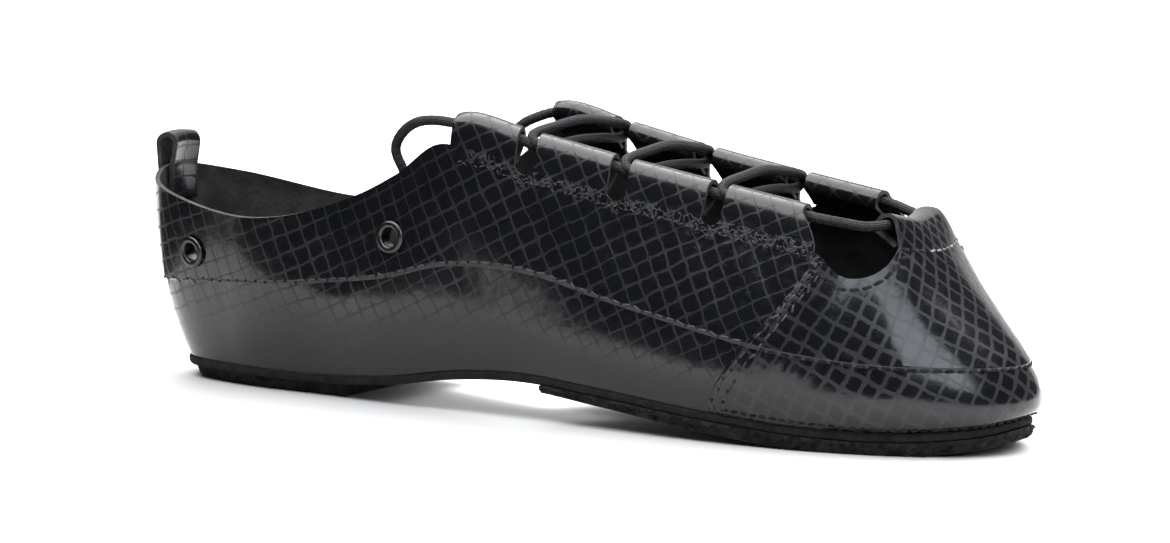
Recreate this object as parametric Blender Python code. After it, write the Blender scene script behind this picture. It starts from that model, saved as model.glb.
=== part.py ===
"""Irish dance pump for the right foot: a soft laced shoe with folded lace tunnels and a split sole.

Shoe coordinates are millimetres: X runs from the back of the heel to the toe, +Y is the medial
side, Z is up from the floor. The root empty moves them so that the shoe is centred on the origin.
"""
import math
from bisect import bisect_right
from collections import namedtuple

import bmesh
import bpy
import numpy as np

# Driving dimensions, in millimetres
MM = 0.001
HEEL_TO_ORIGIN = 119.2
CENTRE_Y = 0.7
WALL = 1.2
GAP = 0.3
SEAM_LAP = 0.55
VAMP_LAP = 0.4
BOARD_THICKNESS = 1.8
BOARD_EDGE = 0.3
SOLE_THICKNESS = 3.2
SOLE_REAR_THICKNESS = 1.9
SOLE_THINNING_RUN = 55.0
SOLE_BEVEL = 1.3
SOLE_EDGE = 1.0
SOLE_REAR_X = 124.6
HEEL_PATCH_FRONT_X = 66.0
HEEL_PATCH_INSET = -1.5
INSOLE_THICKNESS = 1.2
INSOLE_INSET = -1.9
FLAT_SNAP = 0.3

# Lace tunnels: the leather folds inwards over this outer radius, past a shoulder that bows in first
FOLD_RADIUS = 3.1
FOLD_SHOULDER = 2.0
SHOULDER_POWER = 4
FLAP_LENGTH = 6.0
FLAP_GAP = 0.5
TUNNEL_BASE = 6.8
COLLAR_DROP = 5.2
COLLAR_DROP_RUN = 22.0
FIRST_TUNNEL_SLANT = 4.2
GAP_DIP = 1.5
Tunnel = namedtuple("Tunnel", "rear_x front_x")
TUNNELS = (Tunnel(170.0, 189.5), Tunnel(145.0, 165.0), Tunnel(121.5, 140.0), Tunnel(100.0, 116.5))

# Heights of the cut-out between the first tunnel and the toe tunnel, from rear to front
CUTOUT_HEIGHTS = (47.0, 44.0, 42.0, 41.0, 40.6, 40.8, 41.6, 43.2, 45.4, 48.0)

# Round cord and metal rings
LACE_RADIUS = 1.25
EYELET_FLANGE = 4.0
EYELET_BARREL = 2.8
EYELET_BORE = 2.3
EYELET_RIM = 0.6
EYELET_ROUNDING = 0.15
EYELET_HOLE = 3.2
EYELET_LIFT = 0.5
HOLE_LENGTH = 10.0
Eyelet = namedtuple("Eyelet", "name x z")
EYELETS = (Eyelet("front", 84.8, 42.0), Eyelet("rear", 23.5, 33.4))

# Pull loop at the back of the collar
LOOP_HALF_WIDTH = 6.2
LOOP_RISE = 5.6
LOOP_RADIUS = 2.9
LOOP_OUTER_LEG = 13.0
LOOP_INNER_LEG = 9.0

# Sections of the last from heel to toe. Feather is where the wall meets the sole, top is the collar
# or the line where a tunnel starts to fold. belly and lean bow the wall between them.
Section = namedtuple("Section", "name feather_x feather_lat feather_med feather_z belly_out belly_up "
                                "top_x top_lat top_med top_z lean_out lean_down seam_z")
SECTIONS = (
    Section("heel_back", 10.0, 0.0, 0.0, 5.6, 6.0, 12.0, 0.5, 0.0, 0.0, 52.5, 0.5, 16.0, 24.0),
    Section("heel_corner", 16.0, 14.5, 14.0, 5.6, 6.0, 12.0, 8.5, 21.0, 21.6, 49.2, -1.0, 14.0, 25.0),
    Section("heel_side", 35.0, 22.5, 21.5, 5.6, 6.0, 12.0, 36.0, 31.6, 32.6, 43.8, -2.0, 12.0, 27.0),
    Section("heel_front", 62.0, 25.0, 21.5, 5.7, 6.5, 13.0, 64.0, 31.6, 32.2, 47.8, 0.0, 14.0, 29.5),
    Section("waist_rear", 82.0, 27.5, 21.0, 7.4, 6.5, 14.0, 84.0, 31.8, 31.0, 57.2, 2.0, 16.0, 32.5),
    Section("waist", 100.0, 28.8, 20.5, 10.4, 6.5, 15.0, 100.0, 32.8, 27.4, 70.7, 3.0, 20.0, 36.8),
    Section("arch", 118.0, 29.8, 22.0, 11.6, 6.0, 14.0, 121.0, 29.6, 27.2, 67.1, 4.0, 20.0, 37.0),
    Section("ball_rear", 140.0, 31.8, 26.5, 10.2, 6.0, 13.0, 147.0, 26.4, 26.6, 62.0, 5.0, 20.0, 31.6),
    Section("ball", 171.5, 33.8, 35.0, 7.4, 5.5, 12.0, 196.5, 24.2, 26.2, 54.4, 7.0, 18.0, 24.2),
    Section("toe_corner", 197.0, 31.4, 33.6, 5.6, 5.5, 10.5, 204.5, 18.8, 20.6, 54.4, 9.0, 18.0, 21.6),
    Section("toe_side", 219.6, 23.6, 25.2, 5.7, 8.4, 7.8, 208.8, 12.6, 14.0, 53.9, 11.0, 19.8, 20.6),
    Section("toe_front", 233.1, 12.4, 13.2, 7.2, 9.6, 6.4, 210.0, 6.2, 6.8, 53.1, 10.5, 18.7, 20.2),
    Section("toe_tip", 237.7, 0.0, 0.0, 8.7, 9.6, 5.6, 210.3, 0.0, 0.0, 52.7, 10.8, 18.4, 20.0),
)
FIELDS = ("fx", "fy", "fz", "belly_out", "belly_up", "tx", "ty", "tz", "lean_out", "lean_down", "seam_z")

# Small steps for slopes, round counts and merging
LEVEL_STEP = 0.4
RING_STEP = 0.3
V_STEP = 0.004
HALVINGS = 40
ROUND_SIDES = 12
MERGE_DISTANCE = 0.0001
SHARP_ANGLE = math.radians(40)


def ring_rows():
    """All sections around the shoe, lateral side first, and the ring position of each one."""
    def row(section, side):
        breadth = section.feather_lat if side < 0 else section.feather_med
        top_breadth = section.top_lat if side < 0 else section.top_med
        return (section.feather_x, side * breadth, section.feather_z, section.belly_out, section.belly_up,
                section.top_x, side * top_breadth, section.top_z, section.lean_out, section.lean_down,
                section.seam_z)

    places = [0.0]
    for near, far in zip(SECTIONS, SECTIONS[1:]):
        step_x = far.feather_x - near.feather_x
        step_y = 0.5 * (far.feather_lat + far.feather_med - near.feather_lat - near.feather_med)
        places.append(places[-1] + math.hypot(step_x, step_y))
    rows = [row(section, -1) for section in SECTIONS]
    rows += [row(section, 1) for section in SECTIONS[-2:0:-1]]
    around = places + [2 * places[-1] - place for place in places[-2:0:-1]]
    return np.array(rows), np.array(around), 2 * places[-1]


ROWS, PLACES, AROUND = ring_rows()
TOE = 0.5 * AROUND


def ring_slopes():
    """Slope of every column at each section, weighted by the spacing of its neighbours."""
    before = np.roll(ROWS, 1, axis=0)
    after = np.roll(ROWS, -1, axis=0)
    step_back = ((PLACES - np.roll(PLACES, 1)) % AROUND)[:, None]
    step_on = ((np.roll(PLACES, -1) - PLACES) % AROUND)[:, None]
    slope_back = (ROWS - before) / step_back
    slope_on = (after - ROWS) / step_on
    return (slope_back * step_on + slope_on * step_back) / (step_back + step_on)


SLOPES = ring_slopes()


def ring(place):
    """Section values at any place around the shoe, as a dictionary by field."""
    place = place % AROUND
    index = bisect_right(PLACES, place) - 1
    after = (index + 1) % len(PLACES)
    span = (PLACES[after] - PLACES[index]) % AROUND
    t = (place - PLACES[index]) / span
    values = ((1 + 2 * t) * (1 - t) ** 2 * ROWS[index] + t * (1 - t) ** 2 * span * SLOPES[index]
              + t * t * (3 - 2 * t) * ROWS[after] + t * t * (t - 1) * span * SLOPES[after])
    return dict(zip(FIELDS, values))


def outward(place):
    """Level unit vector pointing out of the shoe at a place around it."""
    near, far = ring(place - LEVEL_STEP), ring(place + LEVEL_STEP)
    along_x = far["fx"] - near["fx"] + far["tx"] - near["tx"]
    along_y = far["fy"] - near["fy"] + far["ty"] - near["ty"]
    length = math.hypot(along_x, along_y)
    return np.array((along_y / length, -along_x / length, 0.0))


def wall(place, v):
    """Outer skin of the upper: v is 0 at the feather line and 1 at the top line."""
    at = ring(place)
    out = outward(place)
    up = np.array((0.0, 0.0, 1.0))
    feather = np.array((at["fx"], at["fy"], at["fz"]))
    top = np.array((at["tx"], at["ty"], at["tz"]))
    belly = feather + at["belly_out"] * out + at["belly_up"] * up
    lean = top + at["lean_out"] * out - at["lean_down"] * up
    return (1 - v) ** 3 * feather + 3 * v * (1 - v) ** 2 * belly + 3 * v * v * (1 - v) * lean + v ** 3 * top


def wall_frame(place, v):
    """Outward normal and upward tangent of the skin."""
    low, high = max(v - V_STEP, 0.0), min(v + V_STEP, 1.0)
    rise = wall(place, high) - wall(place, low)
    along = wall(place + RING_STEP, v) - wall(place - RING_STEP, v)
    normal = np.cross(along, rise)
    return normal / np.linalg.norm(normal), rise / np.linalg.norm(rise)


def solve(function, target, low, high):
    """Place between low and high where a rising function reaches the target."""
    for _ in range(HALVINGS):
        middle = 0.5 * (low + high)
        if function(middle) < target:
            low = middle
        else:
            high = middle
    return 0.5 * (low + high)


def place_of_top(x, side):
    place = solve(lambda s: ring(s)["tx"], x, 0.0, TOE)
    return place if side < 0 else AROUND - place


def place_of_feather(x):
    return solve(lambda s: ring(s)["fx"], x, 0.0, TOE)


def v_of_height(place, height):
    return solve(lambda v: wall(place, v)[2], height, 0.0, 1.0)


def v_below_top(place, drop):
    """Wall position that lies a given length below the top line."""
    return v_of_height(place, ring(place)["tz"] - drop * wall_frame(place, 1.0)[1][2])


def bow_in(place, point):
    """Point of a tunnel's outer face moved inwards, further the higher it lies above the tunnel's foot."""
    normal, up = wall_frame(place, 1.0)
    height = TUNNEL_BASE + (point - wall(place, 1.0)) @ up
    share = max(height, 0.0) / (TUNNEL_BASE + FOLD_RADIUS)
    return point - FOLD_SHOULDER * share ** SHOULDER_POWER * normal


def fold_axis(place):
    """Middle of the tunnel above a place on the top line."""
    return wall(place, 1.0) - (FOLD_RADIUS + 0.5 * FOLD_SHOULDER) * wall_frame(place, 1.0)[0]


# Columns of the upper around the ring
Column = namedtuple("Column", "place base fold_place")
HEEL_STEPS = 10
COLLAR_STEPS = 7
TUNNEL_STEPS = 4
GAP_STEPS = 3
TOE_STEPS = 8
VAMP_EDGE = 0.25
SECTION_PLACE = {section.name: place for section, place in zip(SECTIONS, PLACES)}
HEEL_SIDE = SECTION_PLACE["heel_side"]
VAMP_PLACE = SECTION_PLACE["ball"]
TOE_END = SECTION_PLACE["toe_side"]


def spread(start, end, steps):
    return [start + (end - start) * step / steps for step in range(steps)]


def half_columns():
    """Columns of the lateral half from the heel back to the toe tunnel."""
    columns = []
    edges = [place_of_top(x, -1) for tunnel in reversed(TUNNELS) for x in (tunnel.rear_x, tunnel.front_x)]
    collar = spread(0.0, HEEL_SIDE, HEEL_STEPS) + spread(HEEL_SIDE, edges[0], COLLAR_STEPS)
    for place in collar:
        drop = COLLAR_DROP * max(0.0, 1.0 - (edges[0] - place) / COLLAR_DROP_RUN) ** 2
        columns.append(Column(place, v_below_top(place, drop) if drop else 1.0, None))
    for index in range(0, len(edges), 2):
        rear, front = edges[index], edges[index + 1]
        slant = FIRST_TUNNEL_SLANT if front == edges[-1] else 0.0
        for step, place in enumerate(spread(rear, front, TUNNEL_STEPS) + [front]):
            share = step / TUNNEL_STEPS
            drop = TUNNEL_BASE
            if index == 0:
                drop = COLLAR_DROP + (TUNNEL_BASE - COLLAR_DROP) * share
            foot = place + slant * share ** 2
            columns.append(Column(foot, v_below_top(foot, drop), place))
        if index + 2 < len(edges):
            for place in spread(front, edges[index + 2], GAP_STEPS)[1:]:
                columns.append(Column(place, v_below_top(place, TUNNEL_BASE + GAP_DIP), None))
    return columns + cutout_columns(edges[-1] + FIRST_TUNNEL_SLANT)


def cutout_columns(rear):
    """Columns of the cut-out, with a close pair where the vamp laps over the quarter."""
    last = len(CUTOUT_HEIGHTS) - 1
    places = spread(rear, TOE_END, last)[1:]
    nearest = min(places, key=lambda place: abs(place - VAMP_PLACE))
    places.remove(nearest)
    places = sorted(places + [VAMP_PLACE - VAMP_EDGE, VAMP_PLACE + VAMP_EDGE])
    columns = []
    for place in places:
        along = (place - rear) / (TOE_END - rear) * last
        below = min(int(along), last - 1)
        height = CUTOUT_HEIGHTS[below]
        height += (along - below) * (CUTOUT_HEIGHTS[below + 1] - height)
        columns.append(Column(place, v_of_height(place, height), None))
    return columns


def all_columns():
    """Columns around the whole ring, with the medial half as the lateral one's mirror in place."""
    lateral = half_columns()
    toe = []
    for place in spread(TOE_END, AROUND - TOE_END, TOE_STEPS) + [AROUND - TOE_END]:
        toe.append(Column(place, v_below_top(place, TUNNEL_BASE), place))
    medial = []
    for column in reversed(lateral[1:]):
        place = AROUND - column.place
        height = wall(column.place, column.base)[2]
        drop = ring(column.place)["tz"] - height
        base = 1.0 if column.base == 1.0 else v_of_height(place, ring(place)["tz"] - drop)
        fold = None if column.fold_place is None else AROUND - column.fold_place
        medial.append(Column(place, base, fold))
    return lateral + toe + medial


# Rows of the upper: below the long seam, above it, and round the folds
LOWER_ROWS = 3
UPPER_ROWS = 4
STAND_ROWS = 2
FOLD_ROWS = 6
FLAP_ROWS = 1
SEAM_EDGE = 0.006


def lower_profile(column):
    """Outer and inner points of one column from the feather line to its base."""
    place = column.place
    seam = v_of_height(place, ring(place)["seam_z"])
    rows = spread(0.0, seam - SEAM_EDGE, LOWER_ROWS) + [seam - SEAM_EDGE]
    rows += spread(seam, column.base, UPPER_ROWS) + [column.base]
    in_vamp = VAMP_PLACE < place < AROUND - VAMP_PLACE
    outer, inner = [], []
    for v in rows:
        normal = wall_frame(place, v)[0]
        lap = SEAM_LAP * (column.base - v) / (column.base - seam) if v >= seam else 0.0
        if in_vamp and v > 0.0:
            lap += VAMP_LAP * (1 - (v / column.base) ** 4)
        skin = wall(place, v)
        outer.append(skin + lap * normal)
        inner.append(skin - WALL * normal)
    return outer, inner


def fold_profile(column):
    """Outer and inner points of a tunnel column above its base: stand, round fold and inner flap."""
    outer, inner = [], []
    for step in range(1, STAND_ROWS + 1):
        share = step / STAND_ROWS
        place = column.place + (column.fold_place - column.place) * share
        v = column.base + (1.0 - column.base) * share
        skin = wall(place, v)
        outer.append(bow_in(place, skin))
        inner.append(bow_in(place, skin - WALL * wall_frame(place, v)[0]))
    normal, up = wall_frame(place, 1.0)
    centre = wall(place, 1.0) - FOLD_RADIUS * normal
    for step in range(1, FOLD_ROWS + 1):
        angle = math.pi * step / FOLD_ROWS
        ray = math.cos(angle) * normal + math.sin(angle) * up
        for points, radius in ((outer, FOLD_RADIUS), (inner, FOLD_RADIUS - WALL)):
            point = centre + radius * ray
            points.append(bow_in(place, point) if step < 0.5 * FOLD_ROWS else point - FOLD_SHOULDER * normal)
    closed = 2 * WALL + FLAP_GAP
    for step in range(1, FLAP_ROWS + 1):
        share = step / FLAP_ROWS
        v = v_below_top(place, FLAP_LENGTH * share)
        open_depth = 2 * FOLD_RADIUS + FOLD_SHOULDER
        depth = open_depth + (closed - open_depth) * share
        skin = wall(place, v)
        normal = wall_frame(place, v)[0]
        outer.append(skin - depth * normal)
        inner.append(skin - (depth - WALL) * normal)
    return outer, inner


def quad_strip(mesh, first, second, flip):
    """Faces between two lists of vertices of equal length."""
    for low, high in zip(range(len(first) - 1), range(1, len(first))):
        corners = [first[low], second[low], second[high], first[high]]
        mesh.faces.new(reversed(corners) if flip else corners)


def new_object(name, mesh, material):
    """Object from a bmesh in shoe millimetres, with outward faces and smooth rounds."""
    bmesh.ops.remove_doubles(mesh, verts=mesh.verts, dist=MERGE_DISTANCE)
    bmesh.ops.recalc_face_normals(mesh, faces=mesh.faces)
    bmesh.ops.scale(mesh, vec=(MM, MM, MM), verts=mesh.verts)
    data = bpy.data.meshes.new(name)
    mesh.to_mesh(data)
    mesh.free()
    data.materials.append(material)
    data.shade_smooth()
    data.set_sharp_from_angle(angle=SHARP_ANGLE)
    thing = bpy.data.objects.new(name, data)
    bpy.context.scene.collection.objects.link(thing)
    return thing


def make_upper(material):
    """Hollow upper: one wall around the foot, open at the collar, throat, cut-outs and underneath."""
    mesh = bmesh.new()
    columns = all_columns()
    lower, folds = [], []
    for column in columns:
        outer, inner = lower_profile(column)
        lower.append(([mesh.verts.new(p) for p in outer], [mesh.verts.new(p) for p in inner]))
        if column.fold_place is not None:
            outer, inner = fold_profile(column)
            folds.append(([lower[-1][0][-1]] + [mesh.verts.new(p) for p in outer],
                          [lower[-1][1][-1]] + [mesh.verts.new(p) for p in inner]))
        else:
            folds.append(None)
    for here in range(len(columns)):
        there = (here + 1) % len(columns)
        quad_strip(mesh, lower[here][0], lower[there][0], False)
        quad_strip(mesh, lower[here][1], lower[there][1], True)
        mesh.faces.new((lower[here][1][0], lower[there][1][0], lower[there][0][0], lower[here][0][0]))
        if folds[here] and folds[there]:
            quad_strip(mesh, folds[here][0], folds[there][0], False)
            quad_strip(mesh, folds[here][1], folds[there][1], True)
            mesh.faces.new((folds[here][0][-1], folds[there][0][-1], folds[there][1][-1], folds[here][1][-1]))
        else:
            mesh.faces.new((lower[here][0][-1], lower[there][0][-1], lower[there][1][-1], lower[here][1][-1]))
        if folds[here] and not folds[there]:
            quad_strip(mesh, folds[here][0], folds[here][1], False)
        if folds[there] and not folds[here]:
            quad_strip(mesh, folds[there][1], folds[there][0], False)
    upper = new_object("upper", mesh, material)
    for eyelet, side in eyelet_places():
        cut_round_hole(upper, eyelet, side)
    return upper


def eyelet_places():
    return [(eyelet, side) for eyelet in EYELETS for side in (-1, 1)]


def eyelet_seat(eyelet, side):
    """Point on the outer skin and the outward normal at an eyelet."""
    place = place_of_top(eyelet.x, side)
    v = v_of_height(place, eyelet.z)
    seam = v_of_height(place, ring(place)["seam_z"])
    lap = SEAM_LAP * (1.0 - v) / (1.0 - seam)
    normal = wall_frame(place, v)[0]
    return wall(place, v) + lap * normal, normal, lap


def turn_to(vector):
    """Rotation that takes +Z to a vector."""
    z_axis = vector / np.linalg.norm(vector)
    x_axis = np.cross((0.0, 0.0, 1.0), z_axis)
    x_axis = x_axis / np.linalg.norm(x_axis)
    return np.column_stack((x_axis, np.cross(z_axis, x_axis), z_axis))


def turned_ring(profile, seat, normal):
    """Closed ring turned from a (radius, height) profile about a normal."""
    mesh = bmesh.new()
    turn = turn_to(normal)
    rings = []
    for step in range(ROUND_SIDES):
        angle = 2 * math.pi * step / ROUND_SIDES
        points = [(radius * math.cos(angle), radius * math.sin(angle), height) for radius, height in profile]
        rings.append([mesh.verts.new(seat + turn @ np.array(point)) for point in points])
    for here in range(ROUND_SIDES):
        there = (here + 1) % ROUND_SIDES
        quad_strip(mesh, rings[here] + rings[here][:1], rings[there] + rings[there][:1], False)
    return mesh


def cut_round_hole(upper, eyelet, side):
    """Round hole through the wall for an eyelet's barrel."""
    seat, normal, _ = eyelet_seat(eyelet, side)
    mesh = bmesh.new()
    bmesh.ops.create_cone(mesh, cap_ends=True, segments=ROUND_SIDES, radius1=EYELET_HOLE,
                          radius2=EYELET_HOLE, depth=HOLE_LENGTH)
    turn = turn_to(normal)
    for vertex in mesh.verts:
        vertex.co = seat + turn @ np.array(vertex.co)
    cutter = new_object(f"hole_{eyelet.name}_{'lat' if side < 0 else 'med'}", mesh, upper.data.materials[0])
    cutter.hide_render = True
    cutter.display_type = "WIRE"
    cut = upper.modifiers.new(cutter.name, "BOOLEAN")
    cut.operation = "DIFFERENCE"
    cut.object = cutter


def make_eyelet(eyelet, side, material):
    """Rolled metal ring: a flange on the outside, a barrel through the wall and a clenched inner rim."""
    seat, normal, lap = eyelet_seat(eyelet, side)
    depth = WALL + lap + EYELET_LIFT
    profile = (
        (EYELET_BORE, EYELET_LIFT + 0.5 * EYELET_RIM),
        (0.5 * (EYELET_BORE + EYELET_FLANGE), EYELET_LIFT + EYELET_RIM),
        (EYELET_FLANGE, EYELET_LIFT + EYELET_ROUNDING), (EYELET_FLANGE, EYELET_LIFT),
        (EYELET_BARREL, EYELET_LIFT),
        (EYELET_BARREL, -depth), (EYELET_FLANGE, -depth), (EYELET_FLANGE, -depth - EYELET_RIM),
        (EYELET_BORE, -depth - EYELET_RIM),
    )
    name = f"eyelet_{eyelet.name}_{'lateral' if side < 0 else 'medial'}"
    return new_object(name, turned_ring(profile, seat, normal), material)


# Flat pieces under the foot
ACROSS_STEPS = 4
WHOLE_STEPS = 24
FOREFOOT_STEPS = 18
HEEL_PATCH_STEPS = 12
BLUNT_END = 1.0


def half_places(start, end, steps):
    return spread(start, end, steps) + [end]


def plate_mesh(places, offset, bevel, top_of, bottom_of):
    """Solid between two heights, inside the feather line moved out by an offset, narrower below."""
    mesh = bmesh.new()
    grids = {"top": [], "bottom": []}
    for place in places:
        at = ring(place)
        for key, height, reach in (("top", top_of(at), offset), ("bottom", bottom_of(at), offset - bevel)):
            edges = []
            for spot in (place, AROUND - place):
                values = ring(spot)
                edges.append(np.array((values["fx"], values["fy"])) + reach * outward(spot)[:2])
            row = []
            for step in range(ACROSS_STEPS + 1):
                x, y = edges[0] + (edges[1] - edges[0]) * step / ACROSS_STEPS
                row.append(mesh.verts.new((x, y, height)))
            grids[key].append(row)
    for near, far in zip(grids["top"], grids["top"][1:]):
        quad_strip(mesh, near, far, True)
    for near, far in zip(grids["bottom"], grids["bottom"][1:]):
        quad_strip(mesh, near, far, False)
    for side in (0, ACROSS_STEPS):
        top = [row[side] for row in grids["top"]]
        bottom = [row[side] for row in grids["bottom"]]
        quad_strip(mesh, top, bottom, side == 0)
    for end in (0, -1):
        top, bottom = grids["top"][end], grids["bottom"][end]
        if (top[0].co - top[-1].co).length > BLUNT_END:
            quad_strip(mesh, top, bottom, end == 0)
    return mesh


def board_top(at):
    return at["fz"] - GAP


def board_bottom(at):
    return board_top(at) - BOARD_THICKNESS


def insole_bottom(at):
    return at["fz"]


def insole_top(at):
    return at["fz"] + INSOLE_THICKNESS


def sole_top(at):
    return board_bottom(at) - GAP


def sole_bottom(at):
    """Underside of the sole patches: flat on the floor, thinner towards the rear edge at the arch."""
    share = (at["fx"] - SOLE_REAR_X) / SOLE_THINNING_RUN
    thinning = (SOLE_THICKNESS - SOLE_REAR_THICKNESS) * min(max(1.0 - share, 0.0), 1.0)
    if at["fx"] < 0.5 * (HEEL_PATCH_FRONT_X + SOLE_REAR_X):
        thinning = 0.0
    height = sole_top(at) - SOLE_THICKNESS + thinning
    return 0.0 if height < FLAT_SNAP else height


def make_under_pieces(board_leather, suede, lining):
    """Bottom board, forefoot sole, heel patch and insole."""
    whole = half_places(0.0, TOE, WHOLE_STEPS)
    forefoot = half_places(place_of_feather(SOLE_REAR_X), TOE, FOREFOOT_STEPS)
    heel = half_places(0.0, place_of_feather(HEEL_PATCH_FRONT_X), HEEL_PATCH_STEPS)
    pieces = (
        ("bottom_board", whole, BOARD_EDGE, 0.0, board_top, board_bottom, board_leather),
        ("forefoot_sole", forefoot, SOLE_EDGE, SOLE_BEVEL, sole_top, sole_bottom, suede),
        ("heel_sole", heel, HEEL_PATCH_INSET, SOLE_BEVEL, sole_top, sole_bottom, suede),
        ("insole", whole, INSOLE_INSET, 0.0, insole_top, insole_bottom, lining),
    )
    for name, places, offset, bevel, top_of, bottom_of, material in pieces:
        new_object(name, plate_mesh(places, offset, bevel, top_of, bottom_of), material)


# Rows and columns of the pull loop's strap
LOOP_COLUMNS = 4
LOOP_OUTER_ROWS = 4
LOOP_INNER_ROWS = 3


def make_heel_loop(material):
    """Pull loop: a strap sewn outside and inside the heel seam, folded over above the collar."""
    reach = solve(lambda s: -ring(s)["ty"], LOOP_HALF_WIDTH, 0.0, HEEL_SIDE)
    mesh = bmesh.new()
    columns = []
    for place in half_places(-reach, reach, LOOP_COLUMNS):
        normal, up = wall_frame(place, 1.0)
        seam = v_of_height(place, ring(place)["seam_z"])
        outer, inner = [], []
        for drop in spread(LOOP_OUTER_LEG, 0.0, LOOP_OUTER_ROWS):
            v = v_below_top(place, drop)
            lap = SEAM_LAP * (1.0 - v) / (1.0 - seam) + GAP
            skin, facing = wall(place, v), wall_frame(place, v)[0]
            outer.append(skin + (lap + WALL) * facing)
            inner.append(skin + lap * facing)
        middle = wall(place, 1.0) - 0.5 * WALL * normal + LOOP_RISE * up
        for step in range(FOLD_ROWS + 1):
            angle = math.pi * step / FOLD_ROWS
            ray = math.cos(angle) * normal + math.sin(angle) * up
            outer.append(middle + LOOP_RADIUS * ray)
            inner.append(middle + (LOOP_RADIUS - WALL) * ray)
        for drop in half_places(0.0, LOOP_INNER_LEG, LOOP_INNER_ROWS):
            v = v_below_top(place, drop)
            skin, facing = wall(place, v), wall_frame(place, v)[0]
            outer.append(skin - (2 * WALL + GAP) * facing)
            inner.append(skin - (WALL + GAP) * facing)
        columns.append(([mesh.verts.new(p) for p in outer], [mesh.verts.new(p) for p in inner]))
    for here, there in zip(columns, columns[1:]):
        quad_strip(mesh, here[0], there[0], False)
        quad_strip(mesh, here[1], there[1], True)
        for end in (0, -1):
            corners = (here[0][end], there[0][end], there[1][end], here[1][end])
            mesh.faces.new(corners if end else reversed(corners))
    quad_strip(mesh, columns[0][1], columns[0][0], False)
    quad_strip(mesh, columns[-1][0], columns[-1][1], False)
    new_object("heel_loop", mesh, material)


# Lace route. Steps are (along the tunnel towards the rear, inwards, up) from a tunnel's end, and
# toe steps are (x, outwards, up) from the mouth of the toe tunnel or from the middle of the toe bar
TUNNEL_HOLD = 4.0
LEAVE_STEPS = ((-TUNNEL_HOLD, 0.0, 0.0), (2.0, 0.0, 0.3), (3.2, 1.9, 1.75))
CROSS_SPLIT = LEAVE_STEPS[-1][2]
CROSS_RISE = {1: 4.2, -1: -0.8}
SHOULDER_SHARE = 0.24
SHOULDER_RISE = 0.62
TOE_TUNNEL_HOLD = 5.0
TOE_STEPS_OUT = ((-0.6, 1.6, -0.1), (-3.6, 4.4, -0.3))
TOE_BAR_STEP = (0.6, 1.6, -0.6)
FIRST_ENTRY = 2.5
LACE_END_X = 106.0
MOUTH_RISE = 0.2
AXIS_REACH = 2.0
CURVE_STEPS = 24
CORD_ROUNDING = 2
LACE_SPACING = 3.2
FREE_END_SPACING = 4.5


def tunnel_step(x, side, along, inwards, up):
    """Point near a tunnel's axis; along runs towards the heel."""
    place = place_of_top(x, side)
    near = fold_axis(place)
    slope = fold_axis(place_of_top(x - AXIS_REACH, side)) - near
    slope = slope / np.linalg.norm(slope)
    return near + along * slope + np.array((0.0, -side * inwards, up))


def crossing(index, side, level):
    """Route from one tunnel's rear end over the throat to the next tunnel on the other side."""
    rear_x, front_x = TUNNELS[index].rear_x, TUNNELS[index + 1].front_x
    leave = [tunnel_step(rear_x, side, along, inwards, level * up) for along, inwards, up in LEAVE_STEPS]
    enter = [tunnel_step(front_x, -side, -along, inwards, level * up) for along, inwards, up in LEAVE_STEPS]
    rise = CROSS_RISE[level] - CROSS_SPLIT * level
    over = []
    for share, part in ((SHOULDER_SHARE, SHOULDER_RISE), (0.5, 1.0), (1.0 - SHOULDER_SHARE, SHOULDER_RISE)):
        point = leave[-1] + share * (enter[-1] - leave[-1])
        point[2] += part * rise
        over.append(point)
    return leave + over + enter[::-1]


def lace_branch(side, level):
    """Half of the lace: out of the toe tunnel, then side to side up to the fourth tunnel."""
    toe_end = TOE_END if side < 0 else AROUND - TOE_END
    mouth = fold_axis(toe_end)
    first = TUNNELS[0].front_x
    mirror = np.array((1.0, side, 1.0))
    middle = 0.5 * (mouth + tunnel_step(first, side, 0.0, 0.0, 0.0))
    route = [fold_axis(toe_end - side * TOE_TUNNEL_HOLD), mouth]
    route += [mouth + mirror * step for step in TOE_STEPS_OUT]
    route += [middle + mirror * TOE_BAR_STEP, tunnel_step(first, side, -FIRST_ENTRY, 0.0, 0.0),
              tunnel_step(first, side, TUNNEL_HOLD, 0.0, 0.0)]
    for index in range(len(TUNNELS) - 1):
        route += crossing(index, side, level)
        side, level = -side, -level
    return route + [tunnel_step(TUNNELS[-1].front_x, side, TUNNEL_HOLD, 0.0, 0.0),
                    tunnel_step(LACE_END_X, side, 0.0, 0.0, 0.0)]


def smooth_points(route, spacing):
    """Evenly spread points on a smooth curve through a route."""
    knots = np.array(route)
    ahead = np.vstack((knots[1:], 2 * knots[-1] - knots[-2]))
    behind = np.vstack((2 * knots[0] - knots[1], knots[:-1]))
    fine = []
    for index in range(len(knots) - 1):
        near, far = knots[index], knots[index + 1]
        chord = np.linalg.norm(far - near)
        leave = (ahead[index] - behind[index])
        arrive = (ahead[index + 1] - behind[index + 1])
        leave = leave / np.linalg.norm(leave) * chord
        arrive = arrive / np.linalg.norm(arrive) * chord
        for t in np.linspace(0.0, 1.0, CURVE_STEPS, endpoint=False):
            fine.append((1 + 2 * t) * (1 - t) ** 2 * near + t * (1 - t) ** 2 * leave
                        + t * t * (3 - 2 * t) * far + t * t * (t - 1) * arrive)
    fine = np.array(fine + [knots[-1]])
    run = np.concatenate(([0.0], np.cumsum(np.linalg.norm(np.diff(fine, axis=0), axis=1))))
    count = max(2, int(round(run[-1] / spacing)))
    stops = np.linspace(0.0, run[-1], count + 1)
    return np.column_stack([np.interp(stops, run, fine[:, axis]) for axis in range(3)])


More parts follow.
